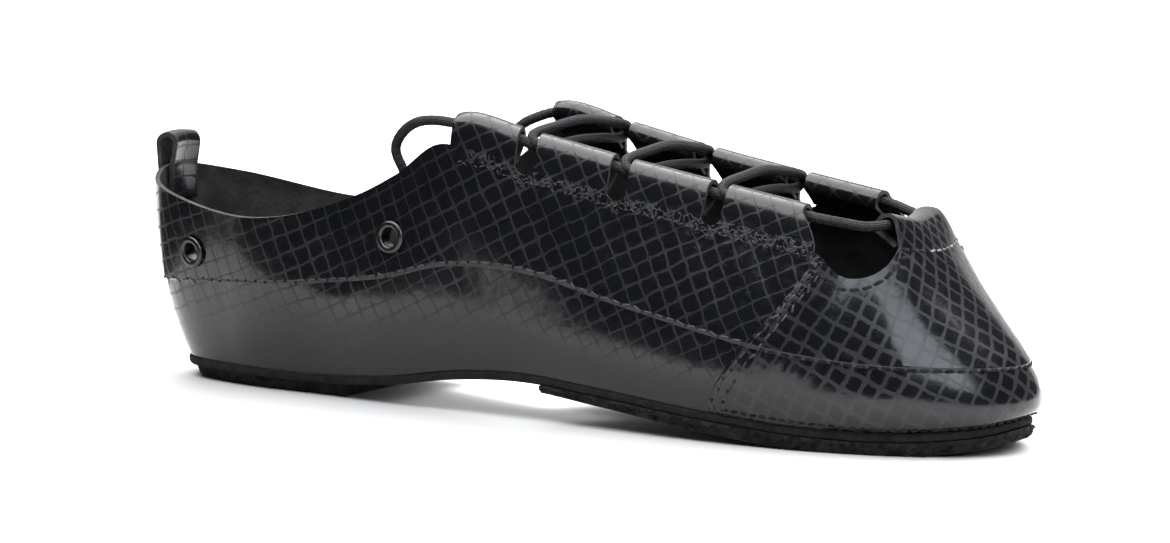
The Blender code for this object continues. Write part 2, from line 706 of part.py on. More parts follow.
def make_cord(name, points, material):
    """Round cord as a bevelled curve with filled ends."""
    curve = bpy.data.curves.new(name, "CURVE")
    curve.dimensions = "3D"
    curve.bevel_depth = LACE_RADIUS * MM
    curve.bevel_resolution = CORD_ROUNDING
    curve.use_fill_caps = True
    spline = curve.splines.new("POLY")
    spline.points.add(len(points) - 1)
    for point, at in zip(spline.points, points):
        point.co = (at[0] * MM, at[1] * MM, at[2] * MM, 1.0)
    spline.use_smooth = True
    curve.materials.append(material)
    cord = bpy.data.objects.new(name, curve)
    bpy.context.scene.collection.objects.link(cord)
    return cord


# Free ends of the lace, from their tunnel's rear mouth down into the shoe
FREE_ENDS = {
    "lace_end_lateral": (
        (92.5, -27.6, 70.6), (87.0, -27.0, 69.7), (82.6, -26.2, 66.8), (80.4, -25.4, 62.6),
        (82.2, -24.4, 57.4), (84.8, -23.2, 50.0), (86.4, -21.6, 39.0), (85.0, -18.4, 27.0),
        (79.5, -14.0, 16.5), (69.0, -9.0, 10.0), (56.0, -4.0, 8.8), (42.0, 2.0, 8.7),
    ),
    "lace_end_medial": (
        (95.0, 21.6, 69.0), (90.0, 20.0, 66.0), (87.6, 18.4, 60.0), (88.4, 17.0, 50.0),
        (90.0, 15.6, 38.0), (88.0, 14.0, 26.0), (81.0, 12.5, 16.0), (70.0, 11.5, 9.9),
        (57.0, 11.0, 8.8), (43.0, 11.5, 8.7),
    ),
}


def make_laces(material):
    """The lace held by the tunnels, and its two free ends."""
    lateral = lace_branch(-1, 1)
    medial = lace_branch(1, -1)
    toe_middle = fold_axis(TOE)
    make_cord("lace", smooth_points(lateral[::-1] + [toe_middle] + medial, LACE_SPACING), material)
    for name, side in (("lace_end_lateral", -1), ("lace_end_medial", 1)):
        start = tunnel_step(LACE_END_X, side, GAP, 0.0, 0.0)
        mouth = tunnel_step(TUNNELS[-1].rear_x, side, 0.0, 0.0, MOUTH_RISE)
        route = [start, mouth] + [np.array(point) for point in FREE_ENDS[name]]
        make_cord(name, smooth_points(route, FREE_END_SPACING), material)


# Colour, roughness and metallic value of each material
MATERIALS = {
    "black_leather": ((0.012, 0.012, 0.013), 0.25, 0.0),
    "board_leather": ((0.02, 0.02, 0.02), 0.6, 0.0),
    "black_suede": ((0.018, 0.018, 0.019), 0.95, 0.0),
    "dark_lining": ((0.03, 0.03, 0.031), 0.85, 0.0),
    "waxed_cord": ((0.02, 0.02, 0.022), 0.5, 0.0),
    "black_metal": ((0.05, 0.05, 0.05), 0.35, 1.0),
}


def make_material(name):
    colour, roughness, metallic = MATERIALS[name]
    material = bpy.data.materials.new(name)
    material.use_nodes = True
    shader = material.node_tree.nodes["Principled BSDF"]
    shader.inputs["Base Color"].default_value = (*colour, 1.0)
    shader.inputs["Roughness"].default_value = roughness
    shader.inputs["Metallic"].default_value = metallic
    return material


def main():
    for thing in list(bpy.data.objects):
        bpy.data.objects.remove(thing, do_unlink=True)
    leather = make_material("black_leather")
    make_upper(leather)
    make_under_pieces(make_material("board_leather"), make_material("black_suede"),
                      make_material("dark_lining"))
    make_heel_loop(leather)
    metal = make_material("black_metal")
    for eyelet, side in eyelet_places():
        make_eyelet(eyelet, side, metal)
    make_laces(make_material("waxed_cord"))
    root = bpy.data.objects.new("shoe_frame", None)
    root.location = (-HEEL_TO_ORIGIN * MM, -CENTRE_Y * MM, 0.0)
    bpy.context.scene.collection.objects.link(root)
    for thing in list(bpy.data.objects):
        if thing is not root:
            thing.parent = root


main()
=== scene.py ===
"""Looks of one Irish dance pump for the right foot: scale-embossed black leather, waxed lace, suede sole.

Shoe coordinates are millimetres: X from the heel back to the toe, +Y medial, Z up from the floor.
"""
import math
from collections import namedtuple

import bmesh
import bpy
import numpy as np
from mathutils import Matrix


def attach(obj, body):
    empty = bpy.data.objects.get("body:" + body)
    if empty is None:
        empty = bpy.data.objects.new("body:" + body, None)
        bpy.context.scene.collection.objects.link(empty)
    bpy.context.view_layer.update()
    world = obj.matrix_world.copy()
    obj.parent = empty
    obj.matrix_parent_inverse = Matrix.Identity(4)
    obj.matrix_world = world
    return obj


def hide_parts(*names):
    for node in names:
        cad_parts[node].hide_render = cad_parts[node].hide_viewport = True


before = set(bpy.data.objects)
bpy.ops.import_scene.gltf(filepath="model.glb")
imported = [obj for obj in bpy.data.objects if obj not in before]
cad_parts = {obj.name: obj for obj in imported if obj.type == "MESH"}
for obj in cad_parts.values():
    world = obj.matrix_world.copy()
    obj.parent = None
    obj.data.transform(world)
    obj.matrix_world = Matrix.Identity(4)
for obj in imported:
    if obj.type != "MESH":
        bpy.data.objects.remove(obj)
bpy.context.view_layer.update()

MM = 0.001
ORIGIN = np.array((119.2, 0.7, 0.0))
UP = np.array((0.0, 0.0, 1.0))
CHANCE = np.random.default_rng(7)

# Steps for slopes along the skin, and halvings in a search
OUTWARD_STEP = 0.4
ALONG_STEP = 0.3
RISE_STEP = 0.004
SOLVE_ROUNDS = 40

# The part's own sizes, in millimetres
WALL = 1.2
GAP = 0.3
SEAM_LAP = 0.55
VAMP_LAP = 0.4
BOARD_THICKNESS = 1.8
BOARD_EDGE = 0.3
SOLE_THICKNESS = 3.2
SOLE_REAR_THICKNESS = 1.9
SOLE_THINNING_RUN = 55.0
SOLE_BEVEL = 1.3
SOLE_EDGE = 1.0
SOLE_REAR_X = 124.6
HEEL_PATCH_FRONT_X = 66.0
HEEL_PATCH_INSET = -1.5
INSOLE_THICKNESS = 1.2
INSOLE_INSET = -1.9
FLAT_SNAP = 0.3
FOLD_RADIUS = 3.1
FOLD_SHOULDER = 2.0
SHOULDER_POWER = 4
FLAP_LENGTH = 6.0
FLAP_GAP = 0.5
TUNNEL_BASE = 6.8
COLLAR_DROP = 5.2
COLLAR_DROP_RUN = 22.0
FIRST_TUNNEL_SLANT = 4.2
GAP_DIP = 1.5
TUNNELS = ((170.0, 189.5), (145.0, 165.0), (121.5, 140.0), (100.0, 116.5))
CUTOUT_HEIGHTS = (47.0, 44.0, 42.0, 41.0, 40.6, 40.8, 41.6, 43.2, 45.4, 48.0)
LACE_RADIUS = 1.25
EYELET_FLANGE = 4.0
EYELET_BARREL = 2.8
EYELET_BORE = 2.3
EYELET_RIM = 0.6
EYELET_HOLE = 3.2
EYELET_LIFT = 0.5
EYELETS = {"front": (84.8, 42.0), "rear": (23.5, 33.4)}
LOOP_HALF_WIDTH = 6.2
LOOP_RISE = 5.6
LOOP_RADIUS = 2.9
LOOP_OUTER_LEG = 13.0
LOOP_INNER_LEG = 9.0
Section = namedtuple("Section", "feather_x feather_lat feather_med feather_z belly_out belly_up "
                                "top_x top_lat top_med top_z lean_out lean_down seam_z")
SECTIONS = {
    "heel_back": Section(10.0, 0.0, 0.0, 5.6, 6.0, 12.0, 0.5, 0.0, 0.0, 52.5, 0.5, 16.0, 24.0),
    "heel_corner": Section(16.0, 14.5, 14.0, 5.6, 6.0, 12.0, 8.5, 21.0, 21.6, 49.2, -1.0, 14.0, 25.0),
    "heel_side": Section(35.0, 22.5, 21.5, 5.6, 6.0, 12.0, 36.0, 31.6, 32.6, 43.8, -2.0, 12.0, 27.0),
    "heel_front": Section(62.0, 25.0, 21.5, 5.7, 6.5, 13.0, 64.0, 31.6, 32.2, 47.8, 0.0, 14.0, 29.5),
    "waist_rear": Section(82.0, 27.5, 21.0, 7.4, 6.5, 14.0, 84.0, 31.8, 31.0, 57.2, 2.0, 16.0, 32.5),
    "waist": Section(100.0, 28.8, 20.5, 10.4, 6.5, 15.0, 100.0, 32.8, 27.4, 70.7, 3.0, 20.0, 36.8),
    "arch": Section(118.0, 29.8, 22.0, 11.6, 6.0, 14.0, 121.0, 29.6, 27.2, 67.1, 4.0, 20.0, 37.0),
    "ball_rear": Section(140.0, 31.8, 26.5, 10.2, 6.0, 13.0, 147.0, 26.4, 26.6, 62.0, 5.0, 20.0, 31.6),
    "ball": Section(171.5, 33.8, 35.0, 7.4, 5.5, 12.0, 196.5, 24.2, 26.2, 54.4, 7.0, 18.0, 24.2),
    "toe_corner": Section(197.0, 31.4, 33.6, 5.6, 5.5, 10.5, 204.5, 18.8, 20.6, 54.4, 9.0, 18.0, 21.6),
    "toe_side": Section(219.6, 23.6, 25.2, 5.7, 8.4, 7.8, 208.8, 12.6, 14.0, 53.9, 11.0, 19.8, 20.6),
    "toe_front": Section(233.1, 12.4, 13.2, 7.2, 9.6, 6.4, 210.0, 6.2, 6.8, 53.1, 10.5, 18.7, 20.2),
    "toe_tip": Section(237.7, 0.0, 0.0, 8.7, 9.6, 5.6, 210.3, 0.0, 0.0, 52.7, 10.8, 18.4, 20.0),
}
FX, FY, FZ, BELLY_OUT, BELLY_UP, TX, TY, TZ, LEAN_OUT, LEAN_DOWN, SEAM_Z = range(11)


def ring_rows():
    """All sections around the shoe, lateral side first, and the ring position of each one."""
    def row(at, side):
        breadth, top = (at.feather_lat, at.top_lat) if side < 0 else (at.feather_med, at.top_med)
        return (at.feather_x, side * breadth, at.feather_z, at.belly_out, at.belly_up,
                at.top_x, side * top, at.top_z, at.lean_out, at.lean_down, at.seam_z)

    sections = list(SECTIONS.values())
    places = [0.0]
    for near, far in zip(sections, sections[1:]):
        step_y = 0.5 * (far.feather_lat + far.feather_med - near.feather_lat - near.feather_med)
        places.append(places[-1] + math.hypot(far.feather_x - near.feather_x, step_y))
    rows = [row(at, -1) for at in sections] + [row(at, 1) for at in sections[-2:0:-1]]
    around = places + [2 * places[-1] - place for place in places[-2:0:-1]]
    return np.array(rows), np.array(around), 2 * places[-1]


ROWS, PLACES, AROUND = ring_rows()
TOE = 0.5 * AROUND
PLACE_OF = dict(zip(SECTIONS, PLACES))
HEEL_SIDE = PLACE_OF["heel_side"]
VAMP_PLACE = PLACE_OF["ball"]
TOE_END = PLACE_OF["toe_side"]


def ring_slopes():
    """Slope of every column at each section, weighted by the spacing of its neighbours."""
    step_back = ((PLACES - np.roll(PLACES, 1)) % AROUND)[:, None]
    step_on = ((np.roll(PLACES, -1) - PLACES) % AROUND)[:, None]
    slope_back = (ROWS - np.roll(ROWS, 1, axis=0)) / step_back
    slope_on = (np.roll(ROWS, -1, axis=0) - ROWS) / step_on
    return (slope_back * step_on + slope_on * step_back) / (step_back + step_on)


SLOPES = ring_slopes()


def hermite(t, near, leave, far, arrive):
    """Smooth run from near to far, with the slopes at which it leaves and arrives."""
    return ((1 + 2 * t) * (1 - t) ** 2 * near + t * (1 - t) ** 2 * leave
            + t * t * (3 - 2 * t) * far + t * t * (t - 1) * arrive)


def ring(place):
    """Section values at places around the shoe, one field in each last-axis entry."""
    place = np.mod(np.asarray(place, float), AROUND)
    index = np.searchsorted(PLACES, place, side="right") - 1
    after = (index + 1) % len(PLACES)
    span = np.mod(PLACES[after] - PLACES[index], AROUND)
    t, span = ((place - PLACES[index]) / span)[..., None], span[..., None]
    return hermite(t, ROWS[index], span * SLOPES[index], ROWS[after], span * SLOPES[after])


def unit(vectors):
    return vectors / np.linalg.norm(vectors, axis=-1, keepdims=True)


def outward(place):
    """Level unit vectors pointing out of the shoe."""
    place = np.asarray(place, float)
    step = ring(place + OUTWARD_STEP) - ring(place - OUTWARD_STEP)
    along_x, along_y = step[..., FX] + step[..., TX], step[..., FY] + step[..., TY]
    return unit(np.stack((along_y, -along_x, 0.0 * along_x), axis=-1))


def wall(place, v):
    """Outer skin of the upper: v is 0 at the feather line and 1 at the top line."""
    place, v = np.broadcast_arrays(np.asarray(place, float), np.asarray(v, float))
    at = ring(place)
    out = outward(place)
    feather, top = at[..., FX:FZ + 1], at[..., TX:TZ + 1]
    belly = feather + at[..., BELLY_OUT, None] * out + at[..., BELLY_UP, None] * UP
    lean = top + at[..., LEAN_OUT, None] * out - at[..., LEAN_DOWN, None] * UP
    v = v[..., None]
    return (1 - v) ** 3 * feather + 3 * v * (1 - v) ** 2 * belly + 3 * v * v * (1 - v) * lean + v ** 3 * top


def wall_frame(place, v):
    """Outward normals and upward tangents of the skin."""
    place, v = np.broadcast_arrays(np.asarray(place, float), np.asarray(v, float))
    rise = wall(place, np.minimum(v + RISE_STEP, 1.0)) - wall(place, np.maximum(v - RISE_STEP, 0.0))
    along = wall(place + ALONG_STEP, v) - wall(place - ALONG_STEP, v)
    return unit(np.cross(along, rise)), unit(rise)


def solve(function, target, low, high):
    """Arguments between low and high where a rising function reaches the targets."""
    target = np.asarray(target, float)
    low, high = np.full(target.shape, low), np.full(target.shape, high)
    for _ in range(SOLVE_ROUNDS):
        middle = 0.5 * (low + high)
        below = function(middle) < target
        low, high = np.where(below, middle, low), np.where(below, high, middle)
    return 0.5 * (low + high)


def run_along(points, axis=0):
    """Length travelled to each point along one way of a grid."""
    steps = np.linalg.norm(np.diff(points, axis=axis), axis=-1)
    return np.insert(np.cumsum(steps, axis=axis), 0, 0.0, axis=axis)


def place_of_top(x, side):
    place = solve(lambda s: ring(s)[..., TX], x, 0.0, TOE)
    return place if side < 0 else AROUND - place


def place_of_feather(x):
    return solve(lambda s: ring(s)[..., FX], x, 0.0, TOE)


def v_of_height(place, height):
    return solve(lambda v: wall(place, v)[..., 2], height, 0.0, 1.0)


def v_below_top(place, drop):
    """Wall positions that lie given lengths below the top line."""
    return v_of_height(place, ring(place)[..., TZ] - drop * wall_frame(place, 1.0)[1][..., 2])


def seam_v(place):
    return v_of_height(place, ring(place)[..., SEAM_Z])


def bow_in(place, points):
    """Points of a tunnel's outer face moved inwards, further the higher they lie above its foot."""
    normal, up = wall_frame(place, 1.0)
    height = TUNNEL_BASE + ((points - wall(place, 1.0)) * up).sum(axis=-1)
    share = np.maximum(height, 0.0) / (TUNNEL_BASE + FOLD_RADIUS)
    return points - FOLD_SHOULDER * (share ** SHOULDER_POWER)[..., None] * normal


def fold_axis(place):
    """Middles of the tunnels above places on the top line."""
    return wall(place, 1.0) - (FOLD_RADIUS + 0.5 * FOLD_SHOULDER) * wall_frame(place, 1.0)[0]


def ease(low, high, value):
    """Smooth step from 0 at low to 1 at high."""
    t = np.clip((value - low) / (high - low), 0.0, 1.0)
    return t * t * (3 - 2 * t)


# Columns of the fine upper around the ring
HEEL_STEPS = 44
COLLAR_STEPS = 46
TUNNEL_STEPS = 30
GAP_STEPS = 10
CUTOUT_STEPS = 84
TOE_STEPS = 60
VAMP_EDGE_STEPS = (-0.7, -0.3, -0.1, 0.05, 0.2, 0.45, 0.9)
VAMP_EDGE_CLEAR = 1.2
Columns = namedtuple("Columns", "place base fold tab")


def cutout_height(share):
    """Height of the cut-out's edge, from its rear end at 0 to the toe tunnel at 1."""
    knots = np.array(CUTOUT_HEIGHTS)
    slopes = np.gradient(knots)
    along = np.clip(share, 0.0, 1.0) * (len(knots) - 1)
    index = np.minimum(along.astype(int), len(knots) - 2)
    return hermite(along - index, knots[index], slopes[index], knots[index + 1], slopes[index + 1])


def half_columns():
    """Columns of the lateral half from the heel back to the toe tunnel."""
    edges = np.array([place_of_top(x, -1) for tunnel in reversed(TUNNELS) for x in tunnel])
    collar = np.concatenate((np.linspace(0.0, HEEL_SIDE, HEEL_STEPS, endpoint=False),
                             np.linspace(HEEL_SIDE, edges[0], COLLAR_STEPS, endpoint=False)))
    drop = COLLAR_DROP * np.maximum(0.0, 1.0 - (edges[0] - collar) / COLLAR_DROP_RUN) ** 2
    groups = [(collar, np.where(drop > 0.0, v_below_top(collar, drop), 1.0), None)]
    for tab in range(len(TUNNELS)):
        rear, front = edges[2 * tab], edges[2 * tab + 1]
        share = np.linspace(0.0, 1.0, TUNNEL_STEPS + 1)
        fold = rear + (front - rear) * share
        foot = fold + (FIRST_TUNNEL_SLANT if tab == len(TUNNELS) - 1 else 0.0) * share ** 2
        drop = TUNNEL_BASE + (0.0 if tab else 1.0) * (COLLAR_DROP - TUNNEL_BASE) * (1.0 - share)
        groups.append((foot, v_below_top(foot, drop), fold))
        if tab + 1 < len(TUNNELS):
            share = np.linspace(0.0, 1.0, GAP_STEPS + 1)[1:-1]
            place = front + (edges[2 * tab + 2] - front) * share
            drop = TUNNEL_BASE + GAP_DIP * np.sin(math.pi * share) ** 0.5
            groups.append((place, v_below_top(place, drop), None))
    rear = edges[-1] + FIRST_TUNNEL_SLANT
    place = np.linspace(rear, TOE_END, CUTOUT_STEPS + 1)[1:-1]
    lap = VAMP_PLACE + np.array(VAMP_EDGE_STEPS)
    place = np.sort(np.concatenate((place[np.abs(place - VAMP_PLACE) > VAMP_EDGE_CLEAR], lap)))
    height = cutout_height((place - rear) / (TOE_END - rear))
    groups.append((place, v_of_height(place, height), None))
    return groups


def all_columns():
    """Columns around the whole ring, the medial half as the lateral one's mirror in place."""
    lateral = half_columns()
    toe = np.linspace(TOE_END, AROUND - TOE_END, TOE_STEPS + 1)
    groups = lateral + [(toe, v_below_top(toe, TUNNEL_BASE), toe)]
    for place, base, fold in reversed(lateral):
        keep = place > 0.0
        near, base = place[keep][::-1], base[keep][::-1]
        far = AROUND - near
        drop = ring(near)[..., TZ] - wall(near, base)[..., 2]
        mirrored = np.where(base < 1.0, v_of_height(far, ring(far)[..., TZ] - drop), 1.0)
        groups.append((far, mirrored, None if fold is None else AROUND - fold[keep][::-1]))
    tab = np.concatenate([np.full(len(place), -1 if fold is None else index)
                          for index, (place, _, fold) in enumerate(groups)])
    fold = np.concatenate([place if fold is None else fold for place, _, fold in groups])
    return Columns(np.concatenate([g[0] for g in groups]), np.concatenate([g[1] for g in groups]), fold, tab)


COLUMNS = all_columns()
PUCKER_START = float(place_of_top(TUNNELS[-1][0], -1))


def base_v(place):
    return np.interp(np.mod(place, AROUND), COLUMNS.place, COLUMNS.base, period=AROUND)


# Creases and gathers, each a soft line between two (x, z) points on one side: +1 medial, -1 lateral
Crease = namedtuple("Crease", "side x0 z0 x1 z1 width height")
CREASES = (
    Crease(-1, 176.0, 46.0, 183.0, 33.0, 2.4, 0.2),
    Crease(-1, 181.0, 45.0, 186.0, 36.0, 1.8, -0.16),
    Crease(-1, 186.0, 44.5, 189.5, 34.0, 1.8, 0.16),
    Crease(-1, 196.5, 39.5, 199.0, 31.0, 2.4, 0.15),
    Crease(-1, 168.0, 45.0, 177.0, 30.0, 3.4, -0.22),
    Crease(-1, 160.0, 50.0, 168.0, 34.0, 4.0, 0.2),
    Crease(-1, 141.0, 55.0, 146.0, 40.0, 3.2, -0.35),
    Crease(-1, 118.0, 61.0, 124.0, 44.0, 3.4, -0.35),
    Crease(-1, 205.0, 24.0, 214.0, 17.0, 4.0, -0.35),
    Crease(-1, 186.0, 27.0, 196.0, 15.0, 4.5, 0.3),
    Crease(-1, 92.0, 50.0, 86.0, 30.0, 6.0, 0.12),
    Crease(-1, 64.0, 42.0, 70.0, 26.0, 7.0, -0.5),
    Crease(1, 178.0, 46.0, 185.0, 32.0, 2.4, 0.45),
    Crease(1, 184.0, 45.0, 188.0, 35.0, 1.7, -0.4),
    Crease(1, 165.0, 45.0, 174.0, 29.0, 3.2, -0.4),
    Crease(1, 141.0, 55.0, 147.0, 40.0, 3.4, -0.35),
    Crease(1, 116.0, 58.0, 122.0, 40.0, 3.6, -0.35),
    Crease(1, 64.0, 40.0, 74.0, 27.0, 7.0, 0.5),
)
CREASE_ENDS = 0.04
CREASE_FADE = 0.6
DETAIL_FADE = (0.86, 1.0)
SLOW_WAVES = ((9.1, 2.0), (5.3, -3.7), (13.7, 6.0))
SLOW_HEIGHT = 0.09
GATHER_PITCH = 5.2
GATHER_HEIGHT = 0.05
GATHER_REACH = 5.0
GATHER_SWAY = 1.3
GATHER_SWAY_RUN = 17.0
GATHER_SWELL = 0.4
GATHER_SWELL_RUN = 23.0
VAMP_LIP = (-0.12, 0.3)
VAMP_FOOT = 0.06
VAMP_FADE = 4

# Pleats drawn up by stitching; each wave has its size, share of the pitch, sway and slant
PUCKER_WAVES = ((1.0, 1.0, 1.9, 0.5), (0.6, 0.61, 0.0, -1.1))
PUCKER_SWAY_RUN = 5.1
PUCKER_DROP = 3.0
PUCKER_REACH = 1.9
PUCKER_PITCH = 3.3
PUCKER_HEIGHT = 0.16
PUCKER_EASE = 8.0
PUCKER_FADE = (-8.0, 0.0)
VAMP_PUCKER_REACH = 4.5
VAMP_PUCKER_PITCH = 2.7
VAMP_PUCKER_HEIGHT = 0.06
VAMP_PUCKER_SWAY = 1.4
VAMP_PUCKER_SWAY_RUN = 1.7
VAMP_PUCKER_START = (0.35, 0.9)
VAMP_PUCKER_END = (0.93, 1.0)
CRINKLE_DROP = 1.5
CRINKLE_REACH = 1.7
CRINKLE_FADE = (-4.0, 4.0)
VAMP_CRINKLE_START = (0.35, 0.85)
SEAM_CRINKLE = 0.2
STRETCH_FADE = (0.25, 0.75)


def detail(place, v, points):
    """Height of creases, seam gathers and slow unevenness above the smooth skin."""
    height = np.zeros(points.shape[:-1])
    for crease in CREASES:
        start = np.array((crease.x0, crease.z0))
        run = np.array((crease.x1, crease.z1)) - start
        offset = points[..., (0, 2)] - start
        share = np.clip(offset @ run / (run @ run), 0.0, 1.0)
        distance = np.linalg.norm(offset - share[..., None] * run, axis=-1)
        fade = np.sin(math.pi * np.clip(share, CREASE_ENDS, 1.0 - CREASE_ENDS)) ** CREASE_FADE
        near = points[..., 1] * crease.side > 0.0
        height += np.where(near, crease.height * fade * np.exp(-(distance / crease.width) ** 2), 0.0)
    closeness = np.exp(-((points[..., 2] - ring(place)[..., SEAM_Z]) / GATHER_REACH) ** 2)
    wave = np.sin(2 * math.pi * place / GATHER_PITCH + GATHER_SWAY * np.sin(place / GATHER_SWAY_RUN))
    swell = 1.0 - GATHER_SWELL + GATHER_SWELL * np.sin(place / GATHER_SWELL_RUN)
    height += GATHER_HEIGHT * closeness * wave * swell
    slow = sum(np.sin(place / length + slant * v) for length, slant in SLOW_WAVES)
    return height + SLOW_HEIGHT * slow * np.sin(math.pi * np.clip(v, 0.0, 1.0))


def lap_of(place, v, base, seam):
    """Thickness that the lapped panels add to the smooth skin."""
    above = np.clip((base - v) / (base - seam), 0.0, 1.0)
    lip = ease(seam + LIP_STEPS[0], seam + LIP_STEPS[-1], v)
    vamp = ease(VAMP_PLACE + VAMP_LIP[0], VAMP_PLACE + VAMP_LIP[1], half_place(place))
    vamp = vamp * ease(0.0, VAMP_FOOT, v) * (1 - np.clip(v / base, 0.0, 1.0) ** VAMP_FADE)
    return SEAM_LAP * above * lip + VAMP_LAP * vamp


def half_place(place):
    """Place counted from the heel back on either side."""
    place = np.mod(place, AROUND)
    return np.minimum(place, AROUND - place)


def under_tunnels(place, height, fade):
    """How far heights lie below the wall's edge, and 1 along the tunnels, fading out about the vamp seam."""
    near = half_place(place)
    share = ease(PUCKER_START, PUCKER_START + PUCKER_EASE, near)
    share = share * (1 - ease(VAMP_PLACE + fade[0], VAMP_PLACE + fade[1], near))
    return wall(place, base_v(place))[..., 2] - height, share


def puckers(place, v, points):
    """Height of the small pleats that stitching draws up under the tunnels and beside the vamp seam."""
    drop, along = under_tunnels(place, points[..., 2], PUCKER_FADE)
    wave = sum(size * np.sin(2 * math.pi * place / (share * PUCKER_PITCH)
                             + sway * np.sin(place / PUCKER_SWAY_RUN) + slant * drop)
               for size, share, sway, slant in PUCKER_WAVES)
    height = PUCKER_HEIGHT * along * wave * np.exp(-((drop - PUCKER_DROP) / PUCKER_REACH) ** 2)
    wave = np.sin(2 * math.pi * points[..., 2] / VAMP_PUCKER_PITCH
                  + VAMP_PUCKER_SWAY * np.sin(place / VAMP_PUCKER_SWAY_RUN))
    share = v / base_v(place)
    beside = ease(*VAMP_PUCKER_START, share) * (1 - ease(*VAMP_PUCKER_END, share))
    beside = beside * np.exp(-((half_place(place) - VAMP_PLACE) / VAMP_PUCKER_REACH) ** 2)
    return height + VAMP_PUCKER_HEIGHT * beside * wave


def crinkle(place, v):
    """Wear map from 1, where stitching wrinkles the leather and its lines get a painted highlight, to -1,
    where it is stretched above the sole.
    """
    height = wall(place, v)[..., 2]
    drop, along = under_tunnels(place, height, CRINKLE_FADE)
    under = along * np.exp(-((drop - CRINKLE_DROP) / CRINKLE_REACH) ** 2)
    past = half_place(place) - VAMP_PLACE - CRINKLE_DROP
    beside = ease(*VAMP_CRINKLE_START, v / base_v(place)) * np.exp(-(past / CRINKLE_REACH) ** 2)
    seam = SEAM_CRINKLE * np.exp(-((height - ring(place)[..., SEAM_Z]) / CRINKLE_DROP) ** 2)
    return np.maximum(np.maximum(under, beside), seam) - (1 - ease(*STRETCH_FADE, v / seam_v(place)))


def skin(place, v):
    """Points on the finished outer skin and its normals."""
    points = wall(place, v)
    normal = wall_frame(place, v)[0]
    base = base_v(place)
    height = lap_of(place, v, base, seam_v(place)) + puckers(place, v, points)
    height = height + detail(place, v, points) * (1 - ease(*DETAIL_FADE, v / base))
    return points + height[..., None] * normal, normal


# Rows of the fine upper
LOWER_ROWS = 15
UPPER_ROWS = 42
INNER_ROWS = 16
STAND_ROWS = 6
FOLD_ROWS = 22
FLAP_ROWS = 6
LIP_STEPS = (-0.009, -0.006, -0.003, 0.0, 0.003, 0.006, 0.009)
LIP_MARGIN = 0.006


def lower_grids():
    """Outer and inner points of every column from the feather line to its base."""
    place, base = COLUMNS.place[:, None], COLUMNS.base[:, None]
    seam = seam_v(COLUMNS.place)[:, None]
    low = np.linspace(0.0, 1.0, LOWER_ROWS)[None, :] * (seam + LIP_STEPS[0] - LIP_MARGIN)
    start = seam + LIP_STEPS[-1] + LIP_MARGIN
    high = start + np.linspace(0.0, 1.0, UPPER_ROWS)[None, :] * (base - start)
    v = np.concatenate((low, seam + np.array(LIP_STEPS)[None, :], high), axis=1)
    outer = skin(np.broadcast_to(place, v.shape), v)[0]
    v_in = np.linspace(0.0, 1.0, INNER_ROWS)[None, :] * base
    inner = wall(place, v_in) - WALL * wall_frame(place, v_in)[0]
    return v, outer, inner


def fold_grids(foot, base, fold):
    """Outer and inner points of one tunnel: stand, round fold and inner flap, with the run past the top."""
    share = np.linspace(0.0, 1.0, STAND_ROWS + 1)[None, 1:]
    place = foot[:, None] + (fold - foot)[:, None] * share
    v = base[:, None] + (1.0 - base[:, None]) * share
    outer = [bow_in(place, wall(place, v))]
    inner = [bow_in(place, wall(place, v) - WALL * wall_frame(place, v)[0])]
    normal, up = wall_frame(fold, 1.0)
    angle = math.pi * np.arange(1, FOLD_ROWS + 1) / FOLD_ROWS
    ray = (np.cos(angle)[None, :, None] * normal[:, None] + np.sin(angle)[None, :, None] * up[:, None])
    centre = (wall(fold, 1.0) - FOLD_RADIUS * normal)[:, None]
    wide = np.broadcast_to(fold[:, None], (len(fold), FOLD_ROWS + FLAP_ROWS))
    near_half = (angle < 0.5 * math.pi)[None, :, None]
    for points, radius in ((outer, FOLD_RADIUS), (inner, FOLD_RADIUS - WALL)):
        bend = centre + radius * ray
        bowed = bow_in(wide[:, :FOLD_ROWS], bend)
        points.append(np.where(near_half, bowed, bend - FOLD_SHOULDER * normal[:, None]))
    share = np.linspace(0.0, 1.0, FLAP_ROWS + 1)[None, 1:]
    flap = wide[:, FOLD_ROWS:]
    flap_v = v_below_top(flap, FLAP_LENGTH * share)
    open_depth = 2 * FOLD_RADIUS + FOLD_SHOULDER
    depth = (open_depth + (2 * WALL + FLAP_GAP - open_depth) * share)[..., None]
    facing = wall_frame(flap, flap_v)[0]
    outer.append(wall(flap, flap_v) - depth * facing)
    inner.append(wall(flap, flap_v) - (depth - WALL) * facing)
    run = np.concatenate((np.zeros(STAND_ROWS), FOLD_RADIUS * angle,
                          math.pi * FOLD_RADIUS + FLAP_LENGTH * share[0]))
    heights = np.concatenate((v, np.ones(wide.shape)), axis=1)
    return (np.concatenate(outer, axis=1), np.concatenate(inner, axis=1),
            np.concatenate((place, wide), axis=1), heights, np.broadcast_to(run, heights.shape))


# Flat patterns of the leather panels, for the scale print
Panel = namedtuple("Panel", "start end topped flat")
PANEL_COLUMNS = 45
PANEL_ROWS = 15
PANEL_ROUNDS = 800
SCALE_PITCH = 4.1
SCALE_TURN = {"quarter_lateral": -24.0, "vamp": 45.0, "quarter_medial": 24.0}
VAMP_LATTICE = 400.0


def panel_top(place, topped):
    """Wall position of a panel's upper edge: the cut edge, or the top line."""
    return base_v(place) if topped else np.ones(np.shape(place))


